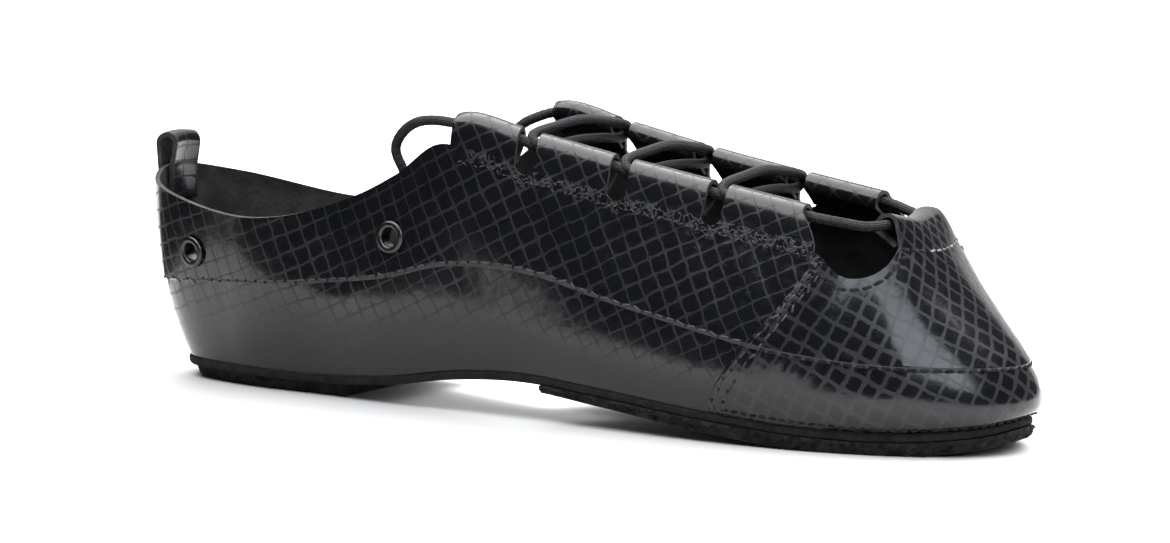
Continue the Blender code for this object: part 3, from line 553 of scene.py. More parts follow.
def fan_layout(points, still):
    """First flat layout of a grid of points: columns fan out from one that stays upright."""
    middle = len(points) // 2
    arcs = run_along(points)
    spacing = np.linalg.norm(np.diff(points, axis=1), axis=2)
    turn = (spacing[0] - spacing[-1]) / (0.5 * (arcs[-1, 1:] + arcs[-1, :-1]))
    row_way = unit(np.gradient(points[middle], axis=0))
    column_way = unit(points[middle + 1] - points[middle - 1])
    corner = np.arccos(np.clip((row_way * column_way).sum(axis=-1), -1.0, 1.0))
    heading = np.concatenate(([0.0], np.cumsum(turn)))
    heading = heading - heading[still] + 0.5 * math.pi
    row_heading = heading - corner
    row_heading = 0.5 * (row_heading[1:] + row_heading[:-1])
    step = spacing[middle][:, None] * np.stack((np.cos(row_heading), np.sin(row_heading)), axis=-1)
    centre = np.concatenate((np.zeros((1, 2)), np.cumsum(step, axis=0)))
    centre = centre - centre[still]
    return centre + (arcs - arcs[middle])[..., None] * np.stack((np.cos(heading), np.sin(heading)), axis=-1)


def flat_panel(start, end, anchor, topped):
    """Lays a panel of the skin out flat, keeping lengths; anchor is the column that stays upright."""
    places = np.linspace(start, end, PANEL_COLUMNS)
    v = panel_top(places, topped)[None, :] * np.linspace(0.0, 1.0, PANEL_ROWS)[:, None]
    points = wall(places[None, :], v)
    flat = fan_layout(points, np.argmin(np.abs(places - anchor)))
    whole, early, late = slice(None), slice(None, -1), slice(1, None)
    pairs = [((whole, early), (whole, late)), ((early, whole), (late, whole)),
             ((early, early), (late, late)), ((late, early), (early, late))]
    lengths = [np.linalg.norm(points[far] - points[near], axis=2) for near, far in pairs]
    ties = np.zeros(flat.shape[:2])
    for near, far in pairs:
        ties[near] += 1.0
        ties[far] += 1.0
    for _ in range(PANEL_ROUNDS):
        move = np.zeros(flat.shape)
        for (near, far), length in zip(pairs, lengths):
            step = flat[far] - flat[near]
            reach = np.linalg.norm(step, axis=2)
            pull = (0.5 * (reach - length) / reach)[..., None] * step
            move[near] += pull
            move[far] -= pull
        flat = flat + move / ties[..., None]
    return Panel(start, end, topped, flat)


def panel_spot(panel, place, v, run):
    """Flat pattern coordinates of points on the skin, run being the length past the top line."""
    top = panel_top(place, panel.topped)
    past = np.maximum(v - top, 0.0) / np.maximum(1.0 - top, 1e-6) * TUNNEL_BASE + run
    column = np.clip((place - panel.start) / (panel.end - panel.start), 0.0, 1.0) * (PANEL_COLUMNS - 1)
    row = np.clip(v / top, 0.0, 1.0) * (PANEL_ROWS - 1)
    c = np.minimum(column.astype(int), PANEL_COLUMNS - 2)
    r = np.minimum(row.astype(int), PANEL_ROWS - 2)
    s, t = (column - c)[..., None], (row - r)[..., None]
    flat = panel.flat
    spot = ((1 - s) * (1 - t) * flat[r, c] + s * (1 - t) * flat[r, c + 1]
            + (1 - s) * t * flat[r + 1, c] + s * t * flat[r + 1, c + 1])
    upward = unit((1 - s) * (flat[-1, c] - flat[-2, c]) + s * (flat[-1, c + 1] - flat[-2, c + 1]))
    return spot + past[..., None] * upward


def scale_spot(name, panel, place, v, run):
    """Coordinates in the scale lattice, one unit to a scale."""
    spot = panel_spot(panel, place, v, run) / SCALE_PITCH
    turn = math.radians(SCALE_TURN[name])
    shift = VAMP_LATTICE if name == "vamp" else 0.0
    return np.stack((math.cos(turn) * spot[..., 0] - math.sin(turn) * spot[..., 1] + shift,
                     math.sin(turn) * spot[..., 0] + math.cos(turn) * spot[..., 1]), axis=-1)


PANELS = {
    "quarter_lateral": flat_panel(0.0, VAMP_PLACE, HEEL_SIDE, False),
    "vamp": flat_panel(VAMP_PLACE, AROUND - VAMP_PLACE, TOE, True),
    "quarter_medial": flat_panel(AROUND - VAMP_PLACE, AROUND, AROUND - HEEL_SIDE, False),
}


def all_scale_spots(place, v, run):
    """Lattice coordinates in every panel, by panel name."""
    return {name: scale_spot(name, panel, place, v, run) for name, panel in PANELS.items()}


def panel_of(place):
    if place < VAMP_PLACE:
        return "quarter_lateral"
    return "vamp" if place < AROUND - VAMP_PLACE else "quarter_medial"


# Meshes
def to_row(points):
    return (np.asarray(points) - ORIGIN) * MM


def grid_quads(columns, rows, closed=False, looped=False):
    """Faces of a grid of vertices numbered column by column; columns may close, and each one may loop."""
    c, r = np.meshgrid(np.arange(columns if closed else columns - 1), np.arange(rows if looped else rows - 1),
                       indexing="ij")
    here, there, above = c * rows, (c + 1) % columns * rows, (r + 1) % rows
    return np.stack((here + r, there + r, there + above, here + above), axis=-1).reshape(-1, 4)


def smooth_faces(data, sharp):
    """Shades a mesh smoothly, with creases where faces meet at more than an angle."""
    data.shade_smooth()
    data.set_sharp_from_angle(angle=math.radians(sharp))


def add_piece(name, points, faces, materials, nodes=(), sharp=40.0,
              face_slots=None, uv=None, wear=None):
    """A mesh piece of the shoe on the root body, in place of CAD nodes."""
    data = bpy.data.meshes.new(name)
    data.from_pydata(to_row(points).tolist(), [], faces if isinstance(faces, list) else faces.tolist())
    for material in materials:
        data.materials.append(material)
    if face_slots is not None:
        data.polygons.foreach_set("material_index", np.asarray(face_slots, dtype=np.int32))
    if uv is not None:
        layer = data.uv_layers.new(name="lattice")
        layer.data.foreach_set("uv", np.asarray(uv, dtype=np.float32).ravel())
    if wear is not None:
        layer = data.attributes.new("wear", "FLOAT", "POINT")
        layer.data.foreach_set("value", np.asarray(wear, dtype=np.float32))
    smooth_faces(data, sharp)
    thing = bpy.data.objects.new(name, data)
    bpy.context.scene.collection.objects.link(thing)
    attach(thing, "root")
    if nodes:
        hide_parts(*nodes)
    return thing


def face_outward(thing, weld=0.0, hole_sides=0):
    """Turns the faces of a closed mesh outward, once close points are welded and holes are filled."""
    mesh = bmesh.new()
    mesh.from_mesh(thing.data)
    if weld:
        bmesh.ops.remove_doubles(mesh, verts=mesh.verts, dist=weld)
        bmesh.ops.dissolve_degenerate(mesh, edges=mesh.edges, dist=weld)
    if hole_sides:
        bmesh.ops.holes_fill(mesh, edges=mesh.edges, sides=hole_sides)
    bmesh.ops.recalc_face_normals(mesh, faces=mesh.faces)
    mesh.to_mesh(thing.data)
    mesh.free()


class Pile:
    """Vertices, their wear map, which also places painted highlight, faces, material slots and lattice
    coordinates gathered for one mesh.
    """

    def __init__(self):
        self.points, self.wear, self.faces, self.slots, self.uv = [], [], [], [], []
        self.count = 0

    def add_points(self, grid, wear=0.0):
        first = self.count
        flat = np.asarray(grid).reshape(-1, 3)
        self.points.append(flat)
        self.wear.append(np.broadcast_to(np.ravel(wear), len(flat)))
        self.count += len(flat)
        return first

    def add_faces(self, faces, slot, uv=None):
        self.faces.append(faces)
        self.slots.append(np.full(len(faces), slot))
        self.uv.append(np.zeros((len(faces), 4, 2)) if uv is None else uv)

    def add_sheet(self, outer, inner, uv_of, closed=False, wear=0.0):
        """Grain and lining of one sheet of leather; gives the first vertex of each."""
        outer_first, inner_first = self.add_points(outer, wear), self.add_points(inner)
        faces = grid_quads(*outer.shape[:2], closed)
        self.add_faces(outer_first + faces, GRAIN, uv_of(faces))
        self.add_faces(inner_first + grid_quads(*inner.shape[:2], closed)[:, ::-1], LINING)
        return outer_first, inner_first

    def make(self, name, materials, node):
        """The leather piece made of all that was gathered."""
        points, faces, slots, uv, wear = [np.concatenate(part) for part in (
            self.points, self.faces, self.slots, self.uv, self.wear)]
        thing = add_piece(name, points, faces, materials, (node,), LEATHER_SHARP,
                          slots, uv, wear)
        face_outward(thing)
        return thing


GRAIN, LINING, EDGE = range(3)
LEATHER_SHARP = 35.0


def pattern_uv(faces, columns, spots):
    """Lattice coordinates of grid faces, each face in the panel of its column."""
    size = len(columns)
    rows = next(iter(spots.values())).shape[1]
    names = np.array([panel_of(0.5 * (columns[c] + columns[c + 1]) if c + 1 < size else columns[c])
                      for c in range(size)])[faces[:, 0] // rows]
    uv = np.zeros((len(faces), 4, 2))
    for name, grid in spots.items():
        uv[names == name] = grid.reshape(-1, 2)[faces[names == name]]
    return uv


def strip_faces(first, second):
    """Faces between two equal runs of vertex numbers."""
    first, second = np.asarray(first), np.asarray(second)
    return np.stack((first[:-1], second[:-1], second[1:], first[1:]), axis=-1)


def make_upper(materials):
    """The hollow upper with its folded tunnels, seams and creases."""
    pile = Pile()
    v, outer, inner = lower_grids()
    size, rows = outer.shape[:2]
    inner_rows = inner.shape[1]
    place = np.broadcast_to(COLUMNS.place[:, None], v.shape)
    spots = all_scale_spots(place, v, np.zeros(v.shape))
    spots["quarter_medial"][0] = scale_spot("quarter_medial", PANELS["quarter_medial"],
                                            np.full(rows, AROUND), v[0], np.zeros(rows))
    outer_first, inner_first = pile.add_sheet(
        outer, inner, lambda faces: pattern_uv(faces, COLUMNS.place, spots), True, crinkle(place, v))
    c = np.arange(size + 1) % size
    pile.add_faces(strip_faces(inner_first + c * inner_rows, outer_first + c * rows)[:, ::-1], EDGE)
    top_outer = outer_first + c * rows + rows - 1
    top_inner = inner_first + c * inner_rows + inner_rows - 1
    rim = strip_faces(top_outer, top_inner)[:, ::-1]
    same_tab = (COLUMNS.tab == np.roll(COLUMNS.tab, -1)) & (COLUMNS.tab >= 0)
    pile.add_faces(rim[~same_tab], EDGE)
    for tab in np.unique(COLUMNS.tab[COLUMNS.tab >= 0]):
        add_tunnel(pile, np.flatnonzero(COLUMNS.tab == tab), top_outer, top_inner)
    cut_eyelet_holes(pile.make("upper_leather", materials, "upper"))


def add_tunnel(pile, columns, top_outer, top_inner):
    """One folded tunnel on its base columns."""
    foot, base, fold = COLUMNS.place[columns], COLUMNS.base[columns], COLUMNS.fold[columns]
    outer, inner, spots_place, spots_v, run = fold_grids(foot, base, fold)
    size, rows = outer.shape[:2]
    spots = all_scale_spots(spots_place, spots_v, run)
    outer_first, inner_first = pile.add_sheet(outer, inner, lambda faces: pattern_uv(faces, fold, spots))
    step = np.arange(size)
    low_outer, low_inner = outer_first + step * rows, inner_first + step * rows
    join = strip_faces(top_outer[columns], low_outer)[:, ::-1]
    foot_spots = all_scale_spots(foot, base, np.zeros(size))
    uv = np.zeros((len(join), 4, 2))
    for index in range(len(join)):
        name = panel_of(0.5 * (fold[index] + fold[index + 1]))
        low, high = foot_spots[name], spots[name][:, 0]
        uv[index] = (low[index + 1], high[index + 1], high[index], low[index])
    pile.add_faces(join, GRAIN, uv)
    pile.add_faces(strip_faces(top_inner[columns], low_inner), LINING)
    pile.add_faces(strip_faces(low_outer + rows - 1, low_inner + rows - 1), EDGE)
    for end in (0, size - 1):
        row = end * rows + np.arange(rows)
        sides = [np.concatenate(([top[columns[end]]], first + row))
                 for top, first in ((top_outer, outer_first), (top_inner, inner_first))]
        pile.add_faces(strip_faces(*sides), EDGE)


# Fine eyelets, and the cutter for their holes
EYELET_UNDERCUT = 0.1
EYELET_ROUND_STEPS = 9
EYELET_SIDES = 48
EYELET_SHARP = 50.0
CUTTER_SIDES = 32
CUTTER_DEPTH = 10.0


def turn_to(vector):
    """Rotation that takes +Z to a vector."""
    z_axis = unit(vector)
    x_axis = unit(np.cross(UP, z_axis))
    return np.column_stack((x_axis, np.cross(z_axis, x_axis), z_axis))


def eyelet_seats():
    """Name, seat on the smooth skin, normal and lap of every eyelet."""
    seats = []
    for name, (x, z) in EYELETS.items():
        for side, word in ((-1, "lateral"), (1, "medial")):
            place = place_of_top(x, side)
            v = v_of_height(place, z)
            lap = SEAM_LAP * (1.0 - v) / (1.0 - seam_v(place))
            normal = wall_frame(place, v)[0]
            seats.append((f"eyelet_{name}_{word}", wall(place, v) + lap * normal, normal, float(lap)))
    return seats


def turned(profile, steps, seat, normal):
    """Points and faces of a closed ring turned from a (radius, height) profile."""
    angle = 2 * math.pi * np.arange(steps)[:, None] / steps
    radius, height = np.array(profile)[None, :, 0], np.array(profile)[None, :, 1]
    points = np.stack((radius * np.cos(angle), radius * np.sin(angle), height + 0 * angle), axis=-1)
    faces = grid_quads(steps, len(profile), closed=True, looped=True)
    return seat + points.reshape(-1, 3) @ turn_to(normal).T, faces


def cut_eyelet_holes(upper):
    """Round holes through the leather under the eyelets."""
    mesh = bmesh.new()
    for _, seat, normal, _ in eyelet_seats():
        matrix = Matrix(turn_to(normal).tolist()).to_4x4()
        matrix.translation = to_row(seat)
        bmesh.ops.create_cone(mesh, cap_ends=True, segments=CUTTER_SIDES, radius1=EYELET_HOLE * MM,
                              radius2=EYELET_HOLE * MM, depth=CUTTER_DEPTH * MM, matrix=matrix)
    data = bpy.data.meshes.new("eyelet_holes")
    mesh.to_mesh(data)
    mesh.free()
    cutter = bpy.data.objects.new("eyelet_holes", data)
    bpy.context.scene.collection.objects.link(cutter)
    cut = upper.modifiers.new("holes", "BOOLEAN")
    cut.operation = "DIFFERENCE"
    cut.object = cutter
    done = bpy.data.meshes.new_from_object(upper.evaluated_get(bpy.context.evaluated_depsgraph_get()))
    upper.modifiers.clear()
    upper.data = done
    bpy.data.objects.remove(cutter)


def make_eyelets(material):
    """Rolled metal rings with rounded flanges."""
    middle = 0.5 * (EYELET_BORE + EYELET_FLANGE)
    half = 0.5 * (EYELET_FLANGE - EYELET_BORE)
    for name, seat, normal, lap in eyelet_seats():
        depth = WALL + lap + EYELET_LIFT
        turn = np.linspace(math.pi, 0.0, EYELET_ROUND_STEPS)
        rounded = [(middle + half * math.cos(a), EYELET_LIFT + EYELET_RIM * math.sin(a)) for a in turn]
        profile = rounded + [(EYELET_BARREL, EYELET_LIFT - EYELET_UNDERCUT), (EYELET_BARREL, -depth),
                             (EYELET_FLANGE, -depth), (EYELET_FLANGE, -depth - EYELET_RIM),
                             (EYELET_BORE, -depth - EYELET_RIM)]
        points, faces = turned(profile, EYELET_SIDES, seat, normal)
        face_outward(add_piece(f"{name}_ring", points, faces, [material], (name,),
                               EYELET_SHARP))


# Flat pieces under the foot
ACROSS_STEPS = 24
EDGE_ROWS = 9
EDGE_ROUNDING = 0.4
BOARD_PRESS = 0.27
WHOLE_STEPS = 260
FOREFOOT_STEPS = 240
HEEL_PATCH_STEPS = 120
BOARD_NAP = 0.05
SOLE_NAP = 0.2
HEEL_NAP = 0.14
INSOLE_NAP = 0.03
RIM_NAP = 0.3
PLATE_SHARP = 45.0
PLATE_WELD = 1e-6


def sole_levels(places):
    """Top and underside of the sole patches: flat on the floor, thinner towards the rear edge at the arch."""
    at = ring(places)
    share = (at[..., FX] - SOLE_REAR_X) / SOLE_THINNING_RUN
    thinning = (SOLE_THICKNESS - SOLE_REAR_THICKNESS) * np.clip(1.0 - share, 0.0, 1.0)
    thinning = np.where(at[..., FX] < SOLE_REAR_X - 1.0, 0.0, thinning)
    top = at[..., FZ] - GAP - BOARD_THICKNESS - GAP
    bottom = top - SOLE_THICKNESS + thinning
    return top, np.where(bottom < FLAT_SNAP, 0.0, bottom)


def plate(name, places, offset, bevel, top, bottom, material, slot, nap):
    """Flat piece inside the feather line moved out by an offset, with a nap of rough fibres on its edge."""
    share = np.linspace(0.0, 1.0, EDGE_ROWS)
    inset = bevel * share + EDGE_ROUNDING * np.abs(2 * share - 1) ** 4
    height = top[:, None] + (bottom - top)[:, None] * share
    sides = []
    for spot in (places, AROUND - places):
        rough = nap * CHANCE.normal(size=height.shape)
        rough[:, (0, -1)] *= RIM_NAP
        reach = (offset - inset + rough)[..., None] * outward(spot)[:, None, :2]
        edge = ring(spot)[:, None, FX:FY + 1] + reach
        sides.append(np.concatenate((edge, height[..., None]), axis=-1))
    across = np.linspace(0.0, 1.0, ACROSS_STEPS + 1)[None, :, None]
    over = sides[0][:, None, 0] + (sides[1][:, None, 0] - sides[0][:, None, 0]) * across
    under = sides[1][:, None, -1] + (sides[0][:, None, -1] - sides[1][:, None, -1]) * across
    loop = np.concatenate((over, sides[1][:, 1:-1], under, sides[0][:, -2:0:-1]), axis=1)
    count, around = loop.shape[:2]
    faces = grid_quads(count, around, looped=True).tolist()
    faces += [list(range(around)), list(range((count - 1) * around, count * around))]
    thing = add_piece(f"{name}_fine", loop.reshape(-1, 3), faces, [material], (name,), PLATE_SHARP)
    face_outward(thing, weld=PLATE_WELD)
    smooth_faces(thing.data, PLATE_SHARP)


def make_under_pieces(board, suede, lining):
    """Bottom board, pressed down onto the sole patches, forefoot sole, heel patch and insole."""
    whole = np.linspace(0.0, TOE, WHOLE_STEPS)
    forefoot = np.linspace(float(place_of_feather(SOLE_REAR_X)), TOE, FOREFOOT_STEPS)
    heel = np.linspace(0.0, float(place_of_feather(HEEL_PATCH_FRONT_X)), HEEL_PATCH_STEPS)
    feather = ring(whole)[..., FZ]
    board_top = feather - GAP
    plate("bottom_board", whole, BOARD_EDGE, 0.0, board_top, board_top - BOARD_THICKNESS - BOARD_PRESS,
          board, "board_leather", BOARD_NAP)
    plate("forefoot_sole", forefoot, SOLE_EDGE, SOLE_BEVEL, *sole_levels(forefoot), suede, "suede", SOLE_NAP)
    plate("heel_sole", heel, HEEL_PATCH_INSET, SOLE_BEVEL, *sole_levels(heel), suede, "suede", HEEL_NAP)
    plate("insole", whole, INSOLE_INSET, 0.0, feather + INSOLE_THICKNESS, feather,
          lining, "lining", INSOLE_NAP)


# Columns and rows of the heel loop
LOOP_COLUMNS = 25
LOOP_OUTER_ROWS = 12
LOOP_FOLD_ROWS = 25
LOOP_INNER_ROWS = 10


def make_heel_loop(materials):
    """Pull loop: a strap sewn outside and inside the heel seam, folded over above the collar."""
    reach = float(solve(lambda s: -ring(s)[..., TY], LOOP_HALF_WIDTH, 0.0, HEEL_SIDE))
    places = np.linspace(-reach, reach, LOOP_COLUMNS)
    normal, up = wall_frame(places, 1.0)
    seam = seam_v(places)
    outer, inner = [], []
    for drop in np.linspace(LOOP_OUTER_LEG, 0.0, LOOP_OUTER_ROWS, endpoint=False):
        v = v_below_top(places, drop)
        lap = (SEAM_LAP * (1.0 - v) / (1.0 - seam) + GAP)[:, None]
        facing = wall_frame(places, v)[0]
        outer.append(wall(places, v) + (lap + WALL) * facing)
        inner.append(wall(places, v) + lap * facing)
    middle = wall(places, 1.0) - 0.5 * WALL * normal + LOOP_RISE * up
    for angle in np.linspace(0.0, math.pi, LOOP_FOLD_ROWS):
        ray = math.cos(angle) * normal + math.sin(angle) * up
        outer.append(middle + LOOP_RADIUS * ray)
        inner.append(middle + (LOOP_RADIUS - WALL) * ray)
    for drop in np.linspace(0.0, LOOP_INNER_LEG, LOOP_INNER_ROWS):
        v = v_below_top(places, drop)
        facing = wall_frame(places, v)[0]
        outer.append(wall(places, v) - (2 * WALL + GAP) * facing)
        inner.append(wall(places, v) - (WALL + GAP) * facing)
    outer, inner = np.stack(outer, axis=1), np.stack(inner, axis=1)
    pile = Pile()
    size, rows = outer.shape[:2]
    run = run_along(outer, axis=1)
    spots = np.stack((np.broadcast_to(places[:, None], run.shape), run), axis=-1) / SCALE_PITCH
    outer_first, inner_first = pile.add_sheet(outer, inner, lambda faces: spots.reshape(-1, 2)[faces])
    step, row = np.arange(size) * rows, np.arange(rows)
    for rim in (step, step + rows - 1, row, (size - 1) * rows + row):
        pile.add_faces(strip_faces(outer_first + rim, inner_first + rim), EDGE)
    pile.make("heel_loop_strap", materials, "heel_loop")


# Lace route. Leave steps are (along the tunnel towards the rear, inwards, up) from a tunnel's end,
# cross steps are shares of the way over the throat and of the rise
LEAVE_STEPS = ((-4.0, 0.0, 0.0), (2.0, 0.0, 0.3), (3.2, 1.9, 1.75))
CROSS_SPLIT = LEAVE_STEPS[-1][2]
CROSS_RISE = {1: 4.2, -1: -0.8}
CROSS_STEPS = ((0.24, 0.62), (0.5, 1.0), (0.76, 0.62))
TOE_REACH = 5.0
MOUTH_STEPS = ((-0.6, 1.6, -0.1), (-3.6, 4.4, -0.3))
MOUTH_RISE = 0.2
BAR_BOW = (0.6, 1.6, -0.6)
BAR_REACH = 2.5
TUNNEL_REACH = 4.0
CURVE_STEPS = 24
SLOPE_BACK = 2.0
LACE_END_X = 106.0
FREE_ENDS = {
    "lace_end_lateral": (
        (92.5, -27.6, 70.6), (87.0, -27.0, 69.7), (82.6, -26.2, 66.8), (80.4, -25.4, 62.6),
        (82.2, -24.4, 57.4), (84.8, -23.2, 50.0), (86.4, -21.6, 39.0), (85.0, -18.4, 27.0),
        (79.5, -14.0, 16.5), (69.0, -9.0, 10.0), (56.0, -4.0, 8.8), (42.0, 2.0, 8.7),
    ),
    "lace_end_medial": (
        (95.0, 21.6, 69.0), (90.0, 20.0, 66.0), (87.6, 18.4, 60.0), (88.4, 17.0, 50.0),
        (90.0, 15.6, 38.0), (88.0, 14.0, 26.0), (81.0, 12.5, 16.0), (70.0, 11.5, 9.9),
        (57.0, 11.0, 8.8), (43.0, 11.5, 8.7),
    ),
}
BRAID_SIDES = 20
BRAID_STEP = 0.45
BRAID_STRANDS = 6
BRAID_LAY = 3.4
BRAID_RELIEF = 0.05
BRAID_START = (0.31, 0.17, 0.93)
BRAID_SHARP = 60.0
TIP_LENGTH = 1.2
TIP_SHARE = 0.02


def tunnel_step(x, side, along, inwards, up):
    """Point near a tunnel's axis; along runs towards the heel."""
    near = fold_axis(place_of_top(x, side))
    slope = unit(fold_axis(place_of_top(x - SLOPE_BACK, side)) - near)
    return near + along * slope + np.array((0.0, -side * inwards, up))


def crossing(index, side, level):
    """Route from one tunnel's rear end over the throat to the next tunnel on the other side."""
    leave, enter = [[tunnel_step(x, way * side, way * along, inwards, level * up)
                     for along, inwards, up in LEAVE_STEPS]
                    for x, way in ((TUNNELS[index][0], 1), (TUNNELS[index + 1][1], -1))]
    rise = (CROSS_RISE[level] - CROSS_SPLIT * level) * UP
    over = [leave[-1] + share * (enter[-1] - leave[-1]) + high * rise for share, high in CROSS_STEPS]
    return leave + over + enter[::-1]


def lace_branch(side, level):
    """Half of the lace: out of the toe tunnel, then side to side up to the fourth tunnel."""
    toe_end = TOE_END if side < 0 else AROUND - TOE_END
    mouth = fold_axis(toe_end)
    first = TUNNELS[0][1]
    mirror = np.array((1.0, side, 1.0))
    route = [fold_axis(toe_end - side * TOE_REACH), mouth] + [mouth + mirror * step for step in MOUTH_STEPS]
    route.append(0.5 * (mouth + tunnel_step(first, side, 0.0, 0.0, 0.0)) + mirror * BAR_BOW)
    route += [tunnel_step(first, side, along, 0.0, 0.0) for along in (-BAR_REACH, TUNNEL_REACH)]
    for index in range(len(TUNNELS) - 1):
        route += crossing(index, side, level)
        side, level = -side, -level
    return route + [tunnel_step(TUNNELS[-1][1], side, TUNNEL_REACH, 0.0, 0.0),
                    tunnel_step(LACE_END_X, side, 0.0, 0.0, 0.0)]


def at_stops(stops, run, values):
    """Points or vectors at given lengths along a line."""
    return np.column_stack([np.interp(stops, run, values[:, axis]) for axis in range(3)])


def smooth_points(route, spacing):
    """Evenly spread points on a smooth curve through a route."""
    knots = np.array(route)
    ahead = np.vstack((knots[1:], 2 * knots[-1] - knots[-2]))
    behind = np.vstack((2 * knots[0] - knots[1], knots[:-1]))
    way = unit(ahead - behind)
    t = np.linspace(0.0, 1.0, CURVE_STEPS, endpoint=False)[:, None]
    fine = []
    for index in range(len(knots) - 1):
        near, far = knots[index], knots[index + 1]
        chord = np.linalg.norm(far - near)
        fine.append(hermite(t, near, way[index] * chord, far, way[index + 1] * chord))
    line = np.vstack(fine + [knots[-1:]])
    run = run_along(line)
    return at_stops(np.linspace(0.0, run[-1], max(2, int(round(run[-1] / spacing))) + 1), run, line)


def braided(name, points, material, nodes, tapered):
    """Round waxed cord with a braided surface along close points, rounded off at the end if tapered."""
    along = unit(np.gradient(points, axis=0))
    across = np.zeros(points.shape)
    across[0] = unit(np.cross(along[0], BRAID_START))
    for index in range(1, len(points)):
        across[index] = unit(across[index - 1] - along[index] * (across[index - 1] @ along[index]))
    other = np.cross(along, across)
    angle = 2 * math.pi * np.arange(BRAID_SIDES) / BRAID_SIDES
    run = np.arange(len(points))[:, None] * np.linalg.norm(points[1] - points[0])
    phase = 2 * math.pi * run / BRAID_LAY
    strands = 0.5 * BRAID_STRANDS * angle[None]
    radius = LACE_RADIUS * (1.0 + BRAID_RELIEF * np.cos(strands + phase) * np.cos(strands - phase))
    if tapered:
        left = np.clip((run[-1] - run) / TIP_LENGTH, 0.0, 1.0)
        radius = radius * np.sqrt(np.clip(1.0 - (1.0 - left) ** 2, TIP_SHARE, 1.0))
    ray = np.cos(angle)[None, :, None] * across[:, None] + np.sin(angle)[None, :, None] * other[:, None]
    tube = points[:, None] + radius[..., None] * ray
    faces = grid_quads(len(points), BRAID_SIDES, looped=True)
    c, r = faces[:, :1] // BRAID_SIDES, faces[:, :1] % BRAID_SIDES
    turns = (r + np.array((0, 0, 1, 1))) / BRAID_SIDES
    lengths = (c + np.array((0, 1, 1, 0))) * (run[1, 0] / BRAID_LAY)
    thing = add_piece(name, tube.reshape(-1, 3), faces, [material], nodes, BRAID_SHARP,
                      None, np.stack((turns, lengths), axis=-1))
    face_outward(thing, hole_sides=BRAID_SIDES)
    return thing


def make_laces(material):
    """The lace through the tunnels and over the throat, and its two free ends."""
    route = lace_branch(-1, 1)[::-1] + [fold_axis(TOE)] + lace_branch(1, -1)
    braided("lace_braid", smooth_points(route, BRAID_STEP), material, ("lace",), False)
    for name, side in (("lace_end_lateral", -1), ("lace_end_medial", 1)):
        start = tunnel_step(LACE_END_X, side, GAP, 0.0, 0.0)
        mouth = tunnel_step(TUNNELS[-1][0], side, 0.0, 0.0, MOUTH_RISE)
        points = smooth_points([start, mouth, *FREE_ENDS[name]], BRAID_STEP)
        cord = braided(f"{name}_braid", points, material, (name,), True)


# Stitches: short threads laid along seam lines, with a dark disc after each one as painted shade in its
# needle hole
STITCH_PITCH = 3.0
STITCH_LENGTH = 2.7
STITCH_WIDTH = 0.55
STITCH_HEIGHT = 0.36
STITCH_LIFT = 0.08
STITCH_DIP = 0.25
STITCH_ZIGZAG = 0.12
STITCH_SWAY = 0.12
STITCH_SIZES = (0.85, 1.1)
STITCH_END = 0.3
STITCH_AIM = 0.6
STITCH_SHARP = 80.0
GATHER_ZIGZAG = 0.5
GATHER_WEIGHT = 0.5
GATHER_DROP = 1.4
GATHER_ENDS = (2.0, 16.0)
SEAM_ROW_RISE = 0.007
VAMP_ROWS = (1.3, 3.9)
VAMP_ROW_ENDS = (0.02, 0.985)
# Dark discs that paint the shade in the needle holes
HOLE_RADIUS = 0.4
HOLE_SIDES = 8
HOLE_LIFT = 0.10
TOE_ROW_DROP = 7.7
# Reach of the pale thread on the toe row, a painted highlight for glints
GLINT_PAINT_REACH = 10.0
DARK_BOLD = 1.7
DARK_ROW_RISE = -0.003
DARK_ROW_START = 3.0
FEATHER_ROW_V = 0.035
FEATHER_WEIGHT = 0.8
CUTOUT_ROW_DROP = 2.6
STITCH_RINGS = 9
STITCH_SIDES = 8
Stitches = namedtuple("Stitches", "spots along normal weight")


def stitch_line(place, v, zigzag=0.0, weight=1.0):
    """Stitches of one thread weight along a line on the skin, turned to and fro by the zigzag."""
    points, normal = skin(np.asarray(place), np.asarray(v))
    points = points + STITCH_LIFT * normal
    run = run_along(points)
    pitch = STITCH_PITCH * weight
    stops = np.arange(0.5 * pitch, run[-1] - STITCH_END * pitch, pitch)
    spots, facing = at_stops(stops, run, points), unit(at_stops(stops, run, normal))
    along = unit(at_stops(stops + STITCH_AIM, run, points) - spots)
    turn = CHANCE.normal(0.0, STITCH_SWAY + 0.5 * zigzag, len(stops))
    turn = turn + zigzag * (-1.0) ** np.arange(len(stops))
    along = unit(along + turn[:, None] * np.cross(facing, along))
    spots = spots + 0.5 * zigzag * CHANCE.normal(size=(len(stops), 1)) * np.cross(facing, along)
    return Stitches(spots, along, facing, np.full(len(stops), weight))


def joined(lines):
    """Rows of stitches as one set."""
    return Stitches(*(np.concatenate(parts) for parts in zip(*lines)))


def stitch_lines():
    """Rows on the quarters' long seam, beside the vamp seams and in the gathers under the tunnels."""
    quarter = np.linspace(VAMP_PLACE - AROUND, VAMP_PLACE, 600)
    quarter = quarter[quarter > -VAMP_PLACE]
    lines = [stitch_line(quarter, seam_v(quarter) + SEAM_ROW_RISE, STITCH_ZIGZAG)]
    front = float(place_of_top(TUNNELS[0][0], -1))
    for mirror in (False, True):
        def at(place):
            return AROUND - place if mirror else place
        for offset in VAMP_ROWS:
            v = np.linspace(*VAMP_ROW_ENDS, 120)
            place = np.full(v.shape, at(VAMP_PLACE + offset))
            lines.append(stitch_line(place, v * base_v(place), STITCH_ZIGZAG))
        place = at(np.linspace(PUCKER_START + GATHER_ENDS[0], front + GATHER_ENDS[1], 240))
        v = v_below_top(place, TUNNEL_BASE + GAP_DIP + GATHER_DROP)
        lines.append(stitch_line(place, v, GATHER_ZIGZAG, GATHER_WEIGHT))
    return joined(lines)


